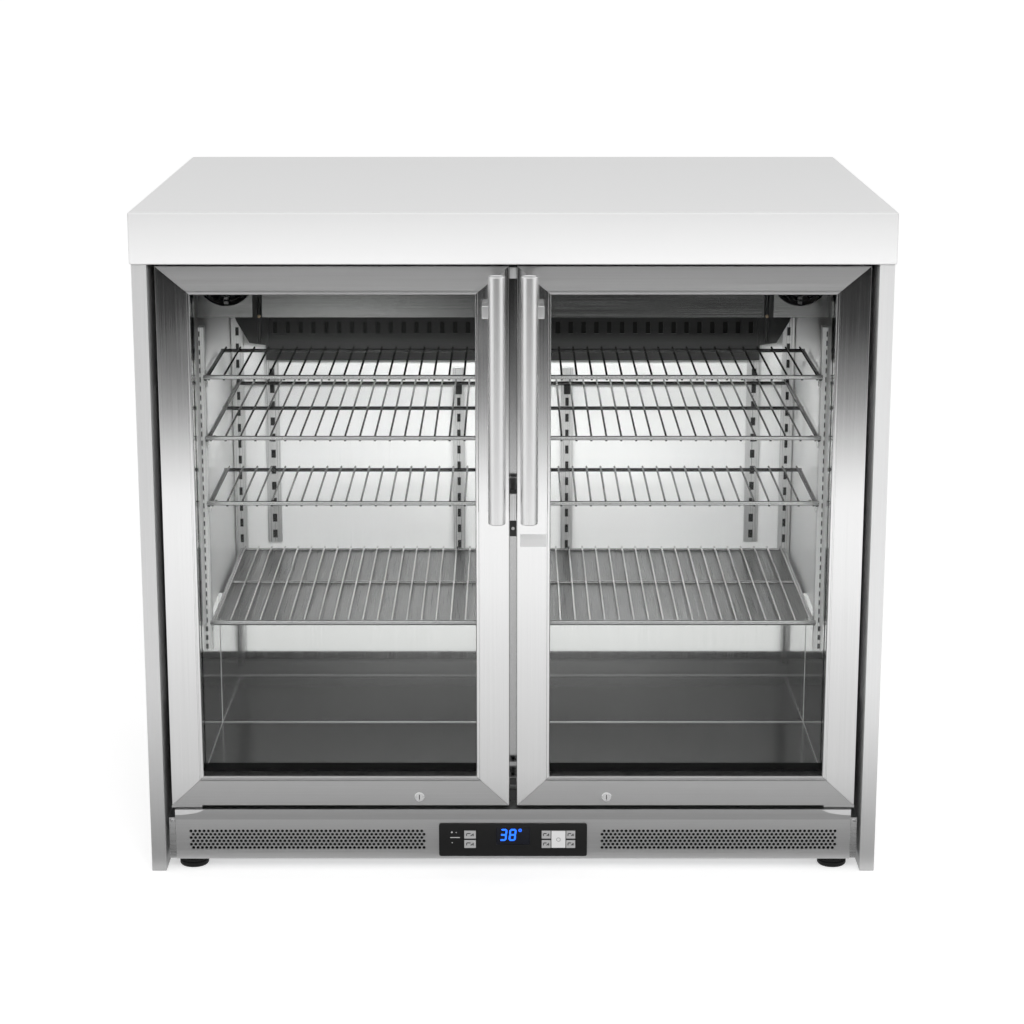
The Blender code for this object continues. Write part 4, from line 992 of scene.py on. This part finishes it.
def dress_lock(word):
    """A lock barrel with a dished face and a dark key slot."""
    node = "lock_barrel_" + word
    low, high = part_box(node)
    centre = (low + high) / 2
    radius = (high.x - low.x) / 2
    dish_start, dish_end = LOCK_DISH_SHARES
    profile = (
        (0, -low.y - LOCK_DISH),
        (radius * dish_start, -low.y - LOCK_DISH),
        (radius * dish_end, -low.y),
        (radius - LOCK_EDGE, -low.y),
        (radius, -low.y - LOCK_EDGE),
        (radius, -high.y),
        (0, -high.y),
    )
    shape = bmesh.new()
    add_turned(shape, profile, (centre.x, 0, centre.z), sides=28, axis="-Y")
    add("barrel_" + word, shape, CHROME, node=node)
    slit = bmesh.new()
    half_width, half_height = KEY_SLOT_HALF
    depths = [low.y + depth for depth in KEY_SLOT_DEPTHS]
    add_box(slit, around(centre.x, half_width), depths, around(centre.z, half_height))
    add("key_slot_" + word, slit, INK, body=body_of(node))


# Base, grille and controls

def dress_grille():
    """A sheet with two perforated patches, folded back at the top, between two end strips."""
    low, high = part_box("kick_grille")
    panel_low, panel_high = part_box("control_panel")
    across = (low.x, high.x)
    fold = high.z - GRILLE_FOLD
    patch_start, patch_end = PATCH_X
    opening_x = (panel_low.x + PANEL_RIM, panel_high.x - PANEL_RIM)
    opening_z = (panel_low.z + PANEL_RIM, panel_high.z - PANEL_RIM)
    holes = [rectangle(opening_x, opening_z)]
    for side, _ in SIDES:
        for row in range(HOLE_ROWS):
            height = HOLE_BOTTOM + row * HOLE_ROW_PITCH
            for column in range(int((patch_end - patch_start) / HOLE_PITCH)):
                x = patch_start + (column + 0.5 * (row % 2) + 0.25) * HOLE_PITCH
                holes.append(circle(side * x, height, HOLE_RADIUS, HOLE_SIDES))
    shape = sheet(rectangle(across, (low.z, fold)), holes, GRILLE_SHEET, low.y + 1.5 * GRILLE_SHEET)
    add_box(shape, across, (low.y, low.y + 2 * GRILLE_SHEET), (fold, high.z), GRILLE_FOLD_EDGE)
    add_box(shape, across, (low.y + GRILLE_SHEET, high.y), (high.z - GRILLE_SHEET, high.z), THIN_EDGE)
    add("grille", shape, GRILLE, node="kick_grille")
    # A black screen behind the perforated patches, seen through the holes: painted shade
    screen = bmesh.new()
    ends = bmesh.new()
    screen_y = low.y + SCREEN_MARGIN
    patch_top = HOLE_BOTTOM + (HOLE_ROWS - 1) * HOLE_ROW_PITCH
    screen_z = (HOLE_BOTTOM - SCREEN_MARGIN, patch_top + SCREEN_MARGIN)
    for side, _ in SIDES:
        span = sided((patch_start - SCREEN_MARGIN, patch_end + SCREEN_MARGIN), side)
        add_box(screen, span, (screen_y, screen_y + GRILLE_SHEET), screen_z, THIN_EDGE)
        span = sided(END_STRIP_X, side)
        add_box(ends, span, (low.y, low.y + END_STRIP_DEPTH), END_STRIP_Z, PLAIN_EDGE)
        add_screw(ends, (sum(span) / 2, low.y, END_STRIP_Z[1] - END_SCREW_DROP), END_SCREW_RADIUS)
    add("grille_shade_screen", screen, FAN)
    add("grille_ends", ends, HINGE)


def add_bar(shape, first, second, half, front):
    """Adds one pointed segment of a figure between two points in X and Z."""
    first, second = Vector(first), Vector(second)
    tip = (second - first).normalized() * half
    across = Vector((-tip.y, tip.x))
    start, end = first + tip, second - tip
    outline = (first, start + across, end + across, second, end - across, start - across)
    loops = []
    for y in (front + 2 * MARK_DEPTH, front):
        loops.append([shape.verts.new((point.x, y, point.y)) for point in outline])
    bridge(shape, loops)
    shape.faces.new(loops[0])
    shape.faces.new(list(reversed(loops[1])))


def add_figure(shape, lit, left, front):
    """Adds a slanted seven-segment figure; lit names its segments from a, at the top, to g."""
    half = DIGIT_STROKE / 2
    corners = {}
    for row, height in enumerate((half, DIGIT_HEIGHT / 2, DIGIT_HEIGHT - half)):
        for column, reach in enumerate((half, DIGIT_WIDTH - half)):
            corners[row, column] = (left + reach + DIGIT_SLANT * height, DIGIT_BOTTOM + height)
    for letter in lit:
        first, second = SEGMENTS[letter]
        add_bar(shape, corners[first], corners[second], half, front)


def dress_display():
    """Two lit figures and a degree ring."""
    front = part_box("display_window")[0].y - MARK_DEPTH
    shape = bmesh.new()
    for index, lit in enumerate(LIT_SEGMENTS):
        add_figure(shape, lit, DIGIT_LEFT + index * DIGIT_STEP, front)
    ring = [(x, front + MARK_DEPTH, z) for x, z in circle(*DEGREE_PLACE, DEGREE_RADIUS, sides=16)]
    add_tube(shape, ring, DEGREE_LINE, sides=8, closed=True)
    add("display_figures", shape, DIGIT, "display")


def dress_marks():
    """Plain marks on the control panel and on its keys."""
    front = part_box("control_panel")[0].y - MARK_DEPTH
    shape = bmesh.new()
    add_bar(shape, *PANEL_BAR, PANEL_BAR_HALF, front)
    for x, height, half in PANEL_DOTS:
        add_bar(shape, (x - half, height), (x + half, height), half, front)
    add("panel_marks", shape, PALE_INK)
    for node in nodes_named("button_"):
        low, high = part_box(node)
        centre = (low + high) / 2
        mark = bmesh.new()
        if node == "button_power":
            ring = [(x, low.y, z) for x, z in circle(centre.x, centre.z, POWER_RING_RADIUS, sides=20)]
            add_tube(mark, ring, POWER_RING_LINE, sides=8, closed=True)
        else:
            half = (high.x - low.x) * KEY_MARK_SHARE
            for stroke in KEY_STROKES:
                ends = [(centre.x + half * share, centre.z + height) for share, height in stroke]
                add_bar(mark, *ends, KEY_STROKE_HALF, low.y - MARK_DEPTH)
        add("mark_" + node, mark, GREY_INK if node == "button_power" else INK, body=body_of(node))


def dress_controls():
    dress_display()
    dress_marks()
    kept("control_panel", BLACK)
    softened("display_window", SCREEN)
    softened("button_power", WHITE_KEY)
    for node in nodes_named("button_"):
        if node != "button_power":
            softened(node, GREY_KEY)


def dress_feet():
    """Feet with a grooved rim and a stem."""
    for node in nodes_named("foot_"):
        low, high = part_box(node)
        centre = (low + high) / 2
        radius = (high.x - low.x) / 2
        profile = [(0, high.z), (FOOT_STEM, high.z), (FOOT_STEM, FOOT_RIM[0][1])]
        profile += [(radius - inset, height) for inset, height in FOOT_RIM]
        profile.append((0, 0))
        shape = bmesh.new()
        add_turned(shape, profile, (centre.x, centre.y, 0), sides=40)
        add(node + "_finished", shape, FOOT, node=node)


# Inside

def is_deep(high):
    """Whether a shelf with this far corner reaches behind the middle rail."""
    return high.y > at(MIDDLE_RAIL_DEPTH) + RAIL_RADIUS


def dress_shelf(node):
    """A wire shelf: thin wires over round rails, hooked down over the front rail.

    The lowest shelves have a solid deck, and their wires take the bright rod steel as painted highlight,
    the same wire being dark on the shelves above.
    """
    lowest = node.startswith("shelf_4")
    low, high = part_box(node)
    wire_z = high.z - WIRE_RADIUS
    rail_z = wire_z - WIRE_RADIUS - RAIL_RADIUS
    front_y = low.y + FRONT_RAIL_RADIUS
    back_y = high.y - RAIL_RADIUS
    shape = bmesh.new()
    count = round((high.x - low.x - WIRE_MARGIN) / WIRE_PITCH)
    first = (low.x + high.x - count * WIRE_PITCH) / 2
    for index in range(count + 1):
        x = first + index * WIRE_PITCH
        bends = [(x, front_y + back, wire_z - drop) for back, drop in WIRE_HOOK]
        add_tube(shape, [(x, high.y, wire_z), *bends], WIRE_RADIUS, sides=8)
    add_rail(shape, low.x, high.x, front_y, high.z - FRONT_RAIL_RADIUS, FRONT_RAIL_RADIUS, 1)
    add_rail(shape, low.x, high.x, back_y, rail_z, RAIL_RADIUS, 0)
    if is_deep(high):
        add_rail(shape, low.x, high.x, at(MIDDLE_RAIL_DEPTH) - RAIL_RADIUS, rail_z, RAIL_RADIUS, 0)
    for x in (low.x + RAIL_RADIUS, high.x - RAIL_RADIUS):
        add_tube(shape, ((x, front_y, rail_z), (x, back_y, rail_z)), RAIL_RADIUS, sides=12)
    # Painted highlight: the lowest shelves' wires take the bright rod steel
    add(node + "_finished", shape, [ROD if lowest else WIRE, ROD], node=node)
    if lowest:
        deck = bmesh.new()
        inset = 2 * RAIL_RADIUS
        deck_z = (low.z - DECK_DROP, low.z - DECK_DROP / 2)
        add_box(
            deck, (low.x + inset, high.x - inset), (low.y + inset, high.y - inset), deck_z, DECK_DROP / 8
        )
        add(node + "_deck", deck, DECK, "shelf_wire")


def add_rail(shape, left, right, y, z, radius, material):
    """Adds a rail across a shelf."""
    add_tube(shape, ((left, y, z), (right, y, z)), radius, sides=14, material=material)


def dress_inside():
    for node in frame["nodes"]:
        if node.startswith("shelf_"):
            dress_shelf(node)
        if node.startswith("pilaster_"):
            softened(node, PALE_STRIP if "side" in node else STRIP)
            fill_slots(node)
    # The skirt's faces take the dark sheet, which is painted shade
    cover = softened("evaporator_cover", [COVER, DARK_SHEET])
    skirt_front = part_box("evaporator_cover")[1].y - SKIRT_DEPTH
    for face in cover.data.polygons:
        if face.center.y > skirt_front:
            face.material_index = 1
    kept("evaporator_coil", COIL)
    dress_cover()
    for side, word in SIDES:
        kept("evaporator_fan_" + word, FAN)
        dress_fan_guard(word)
        dress_back_strip(side, word)
        dress_strip_edge(side, word)
    dress_clips()


def fill_slots(node):
    """A dark core that shows in the slots of a strip, as painted shade for the dark inside."""
    low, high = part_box(node)
    core = bmesh.new()
    add_box(core, *[(start + CORE_INSET, end - CORE_INSET) for start, end in zip(low, high)])
    add(node + "_core", core, SPACER)


def dress_cover():
    """Plates, cheeks, drain tubes and screws on the evaporator cover, dark boxes of painted shade in the
    gaps beside the plates, and a black sheet of painted shade behind its skirt.
    """
    low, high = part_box("evaporator_cover")
    front = low.y - PLATE_PROUD
    middle_y = front + PLATE_PROUD / 2
    fan_low, fan_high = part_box("evaporator_fan_right")
    fan = (fan_low + fan_high) / 2
    plate_z = (COVER_FLOOR, high.z)
    tube_y = front - TUBE_RADIUS
    plates = bmesh.new()
    gaps = bmesh.new()
    tubes = bmesh.new()
    screws = bmesh.new()
    cheeks = bmesh.new()
    for side, _ in SIDES:
        outline = rectangle(sided(FAN_PLATE_X, side), plate_z)
        hole = circle(side * fan.x, fan.z, FAN_HOLE_RADIUS, sides=48)
        join(plates, sheet(outline, [hole], PLATE_PROUD, middle_y))
        # Dark boxes in the gaps beside the fan plates: painted shade
        add_box(gaps, sided(DARK_GAP_X, side), (middle_y, low.y), plate_z)
        add_tube(tubes, [(side * TUBE_X, tube_y, height) for height in TUBE_Z], TUBE_RADIUS, sides=12)
        add_screw(screws, (side * TUBE_X, tube_y - TUBE_RADIUS, COVER_SCREW_Z), COVER_SCREW_RADIUS)
        join(cheeks, sheet([(side * x, z) for x, z in CHEEK], [], PLATE_PROUD, at(CHEEK_DEPTH)))
    # A black sheet behind the skirt: painted shade
    behind = bmesh.new()
    skirt_back = high.y + PLATE_PROUD / 2
    skirt_z = (low.z + SKIRT_BACKING_RISE, COVER_FLOOR)
    add_box(behind, around(0, CHEEK[0][0]), (skirt_back, skirt_back + PLATE_PROUD), skirt_z)
    add("skirt_shade_sheet", behind, SLOT)
    add("fan_plates", plates, FAN_PLATE, "cover_steel")
    add("cover_gaps", gaps, FAN, "fan_plastic")
    add("drain_tubes", tubes, FAN, "fan_plastic")
    add("cover_screws", screws, BRASS)
    add("cover_cheeks", cheeks, DARK_SHEET, "cover_steel")


def dress_back_strip(side, word):
    """A slotted strip on the back wall, between the corner and the centre strips."""
    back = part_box("pilaster_corner_" + word)[1].y
    span = sided(BACK_STRIP_X, side)
    bottom, top = BACK_STRIP_Z
    half_width, half_height = SLOT_HALF
    holes = []
    for index in range(int((top - bottom) / SLOT_PITCH)):
        height = bottom + (index + 0.5) * SLOT_PITCH
        holes.append(rectangle(around(sum(span) / 2, half_width), around(height, half_height)))
    middle_y = back - BACK_STRIP_THICKNESS / 2
    shape = sheet(rectangle(span, BACK_STRIP_Z), holes, BACK_STRIP_THICKNESS, middle_y)
    add("back_strip_" + word, shape, STRIP, "liner_steel")
    # A dark core behind the slots: painted shade
    core = bmesh.new()
    core_x = (span[0] + BACK_CORE_INSET, span[1] - BACK_CORE_INSET)
    core_z = (bottom + BACK_CORE_INSET, top - BACK_CORE_INSET)
    add_box(core, core_x, (back - BACK_CORE_DEPTH, back), core_z)
    add("back_strip_core_" + word, core, SPACER)


def dress_strip_edge(side, word):
    """A row of dark slots up the front edge of a side strip, drawn as dark marks of painted shade."""
    low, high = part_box("pilaster_side_" + word)
    depths = [low.y + depth for depth in EDGE_SLOT_DEPTHS]
    slots = bmesh.new()
    for index in range(int((high.z - low.z) / EDGE_SLOT_PITCH)):
        height = low.z + (index + 0.5) * EDGE_SLOT_PITCH
        add_box(slots, sided(EDGE_SLOT_X, side), depths, around(height, EDGE_SLOT_HALF))
    add("strip_edge_" + word, slots, SPACER)


def dress_clips():
    """Steel clips under the shelves' ends on the side strips, and black ones on the centre strips."""
    steel = bmesh.new()
    black = bmesh.new()
    for side, word in SIDES:
        strip_low, strip_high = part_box("pilaster_side_" + word)
        face_x = strip_low.x if side > 0 else -strip_high.x
        depths = around((strip_low.y + strip_high.y) / 2, CLIP_HALF)
        arm_x = sided((face_x - CLIP_REACH, face_x), side)
        plate_x = sided((face_x - CLIP_PLATE, face_x), side)
        centre_low, centre_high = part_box("pilaster_centre_" + word)
        black_x = around((centre_low.x + centre_high.x) / 2, BLACK_CLIP_HALF)
        black_depths = (centre_low.y - BLACK_CLIP_DEPTH, centre_low.y)
        for shelf in nodes_named("shelf_"):
            if not shelf.endswith(word):
                continue
            shelf_low, shelf_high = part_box(shelf)
            under = shelf_low.z - CLIP_GAP
            add_box(steel, arm_x, depths, (under - CLIP_ARM, under), PLAIN_EDGE)
            add_box(steel, plate_x, depths, (under - CLIP_HEIGHT, under - CLIP_LAP), SMALL_EDGE)
            if is_deep(shelf_high):
                add_box(black, black_x, black_depths, (under - CLIP_HEIGHT, under), BLACK_CLIP_EDGE)
    add("shelf_clips", steel, ROD, "shelf_wire")
    add("shelf_clips_black", black, FAN, "fan_plastic")


def dress_fan_guard(word):
    """Black rings and spokes in front of an evaporator fan."""
    low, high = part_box("evaporator_fan_" + word)
    centre = (low + high) / 2
    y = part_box("evaporator_cover")[0].y - PLATE_PROUD - GUARD_STAND
    spoke_y = y + SPOKE_SINK
    shape = bmesh.new()
    for radius in GUARD_RINGS:
        ring = [(x, y, z) for x, z in circle(centre.x, centre.z, radius, sides=40)]
        add_tube(shape, ring, GUARD_WIRE, sides=6, closed=True)
    for x, z in circle(centre.x, centre.z, GUARD_RINGS[-1], SPOKE_COUNT):
        add_tube(shape, ((centre.x, spoke_y, centre.z), (x, spoke_y, z)), SPOKE_WIRE, sides=6)
    add("fan_guard_" + word, shape, FAN, "fan_plastic")


# Back and machine

def dress_back():
    """The back sheet with its screws, stiffening beads and vent louvres."""
    low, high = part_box("cabinet_shell")
    face = high.y + BACK_PLATE_THICKNESS
    plate_x = (low.x + BACK_PLATE_INSET, high.x - BACK_PLATE_INSET)
    plate_z = (low.z + BACK_PLATE_INSET, high.z - BACK_PLATE_INSET)
    plate = bmesh.new()
    add_box(plate, plate_x, (high.y, face), plate_z, SMALL_EDGE)
    for height in BEAD_HEIGHTS:
        add_tube(plate, ((-BEAD_HALF, face, height), (BEAD_HALF, face, height)), BEAD_RADIUS, sides=12)
    # Black slits under the louvres: painted shade for their openings
    slits = bmesh.new()
    for x in LOUVRE_X:
        span = around(x, LOUVRE_HALF)
        for height in LOUVRE_HEIGHTS:
            louvre_z = (height, height + LOUVRE_TALL)
            add_box(plate, span, (face, face + LOUVRE_RISE), louvre_z, LOUVRE_EDGE, FINE_STEPS)
            add_box(slits, span, (face, face + SLIT_RISE), [height + shift for shift in SLIT_Z])
    add("back_plate", plate, GALVANISED, SLOTS["base_chassis"])
    add("back_slits", slits, SLOT)
    screws = bmesh.new()
    across, up = BACK_SCREWS
    columns = spread(plate_x[0] + BACK_SCREW_INSET, plate_x[1] - BACK_SCREW_INSET, across)
    rows = spread(plate_z[0] + BACK_SCREW_INSET, plate_z[1] - BACK_SCREW_INSET, up)
    for x in columns:
        for z in rows:
            if x in (columns[0], columns[-1]) or z in (rows[0], rows[-1]):
                add_screw(screws, (x, face, z), BACK_SCREW_RADIUS, "Y")
    add("back_screws", screws, CHROME)


def spread(first, last, count):
    """Places at equal steps from the first to the last."""
    return [first + (last - first) * step / (count - 1) for step in range(count)]


def dress_machine():
    kept("condenser", COIL)
    kept("condenser_fan", FAN)
    softened("compressor", PAINT)
    pipes = bmesh.new()
    for run in (SUCTION_PIPE, HOT_PIPE):
        add_tube(pipes, [(x, at(depth), z) for x, depth, z in run], PIPE_RADIUS, sides=12)
    add("copper_pipes", pipes, COPPER)
    box = bmesh.new()
    depths = [at(depth) for depth in TERMINAL_DEPTHS]
    add_box(box, TERMINAL_X, depths, TERMINAL_Z, TERMINAL_EDGE, FINE_STEPS)
    add("terminal_box", box, FAN)
    dress_back()


# Stage, light and camera

def background_rays(tree):
    """One for rays that see the plain background, straight or by way of metal or glass."""
    seen = light_path(tree, "Is Camera Ray")
    for kind in ("Is Glossy Ray", "Is Transmission Ray"):
        seen = maths(tree, "MAXIMUM", seen, light_path(tree, kind))
    return seen


def lay_sheet(name, finish, x, y, height):
    """A flat sheet on the stage, seen from above."""
    shape = bmesh.new()
    shape.faces.new([shape.verts.new((*corner, 0)) for corner in rectangle(x, y)])
    mesh = bpy.data.meshes.new(name)
    shape.to_mesh(mesh)
    shape.free()
    mesh.materials.append(finish)
    laid = bpy.data.objects.new(name, mesh)
    laid.location.z = height
    bpy.context.scene.collection.objects.link(laid)
    return laid


def make_floor():
    """A pale floor that shows white to the camera and keeps the object's shadow."""
    made, tree = new_material("pale_floor")
    surface(tree, {
        "Base Color": tinted(tree, noise(tree, [3.0] * 3), 0.64, 0.66),
        "Roughness": 0.7,
        "Specular IOR Level": 0.1,
        "Emission Color": colour(1),
        "Emission Strength": ranged(tree, background_rays(tree), 0.0, FLOOR_GLOW, 0, 1),
    })
    lay_sheet("floor", made, around(0, FLOOR_HALF), around(0, FLOOR_HALF), -FLOOR_DROP)


def lay_cloth(name, cover, x, y, height):
    """A sheet of dark cloth that only metal and glass mirror; cover makes its alpha in the node tree."""
    made, tree = new_material("dark_" + name)
    met = maths(tree, "MINIMUM", light_path(tree, "Glossy Depth"), 1.0)
    surface(tree, {
        "Base Color": colour(0.02),
        "Roughness": 0.9,
        "Specular IOR Level": 0.0,
        "Alpha": maths(tree, "MULTIPLY", met, cover(tree)),
    })
    cloth = lay_sheet(name, made, x, y, height)
    cloth.visible_camera = False
    cloth.visible_diffuse = False
    cloth.visible_shadow = False
    return cloth


def flag_cover(tree):
    """A cover that changes with the distance in front of the side panels, thinner round one gleam."""
    share = ranged(tree, object_axis(tree, "Y"), 0, 1, FRONT_Y, FRONT_Y - FLAG_REACH)
    by_distance = output_of(tree, "ValToRGB", "Color", {"Fac": share})
    points = by_distance.node.color_ramp.elements
    while len(points) < len(FLAG_COVER):
        points.new(0.5)
    for point, (distance, cover) in zip(points, FLAG_COVER):
        point.position = distance / FLAG_REACH
        point.color = colour(cover)
    inputs = {0: object_place(tree), 1: GLEAM_PLACE}
    away = output_of(tree, "VectorMath", "Value", inputs, operation="DISTANCE")
    return maths(tree, "MULTIPLY", by_distance, ranged(tree, away, GLEAM_COVER, 1, *GLEAM_SPREAD))


def curtain_cover(tree):
    """A cover that thins out towards the curtain's top."""
    return ranged(tree, object_axis(tree, "Y"), 1, 0, CURTAIN_HEIGHT / 2, CURTAIN_HEIGHT)


def make_cloths():
    """A flag over the floor in front, and a curtain hung behind it, for the metal to mirror."""
    depths = (FRONT_Y - FLAG_REACH, FRONT_Y - FLAG_START)
    lay_cloth("flag", flag_cover, around(0, FLAG_HALF), depths, FLAG_HEIGHT)
    curtain = lay_cloth("curtain", curtain_cover, around(0, CURTAIN_HALF), (0, CURTAIN_HEIGHT), 0)
    curtain.location.y = FRONT_Y - CURTAIN_DISTANCE
    curtain.rotation_euler.x = math.radians(90)


def make_world():
    """Plain white light from all sides."""
    world = bpy.data.worlds.new("studio")
    world.use_nodes = True
    bpy.context.scene.world = world
    tree = world.node_tree
    level = ranged(tree, background_rays(tree), WORLD_LIGHT, 1.0, 0, 1)
    feed(tree, tree.nodes["Background"], {"Color": colour(1), "Strength": level})


def make_lamps():
    """Soft lamps in front and in the cabinet, which metal and glass don't show."""
    for name, place, target, size, power, spread_angle in LAMPS:
        data = bpy.data.lights.new(name, "AREA")
        data.shape = "RECTANGLE"
        data.size, data.size_y = size
        data.energy = power
        data.spread = math.radians(spread_angle)
        lamp = bpy.data.objects.new(name, data)
        lamp.location = place
        lamp.rotation_euler = (Vector(target) - Vector(place)).to_track_quat("-Z", "Y").to_euler()
        lamp.visible_glossy = False
        lamp.visible_transmission = False
        bpy.context.scene.collection.objects.link(lamp)


def make_camera():
    data = bpy.data.cameras.new("camera")
    data.sensor_width = SENSOR_WIDTH
    data.lens = FOCAL_PIXELS / FRAME_PIXELS * SENSOR_WIDTH
    camera = bpy.data.objects.new("camera", data)
    camera.location = (CAMERA_X, at(-CAMERA_DISTANCE), CAMERA_HEIGHT)
    camera.rotation_euler = (math.radians(90 - CAMERA_PITCH), 0, 0)
    bpy.context.scene.collection.objects.link(camera)
    bpy.context.scene.camera = camera


dress_housing()
dress_cabinet()
for side, word in SIDES:
    dress_door(side, word)
dress_gap()
dress_grille()
dress_controls()
dress_feet()
dress_inside()
dress_machine()
make_floor()
make_cloths()
make_world()
make_lamps()
make_camera()
bpy.context.scene.view_settings.view_transform = "Standard"

bpy.context.view_layer.update()
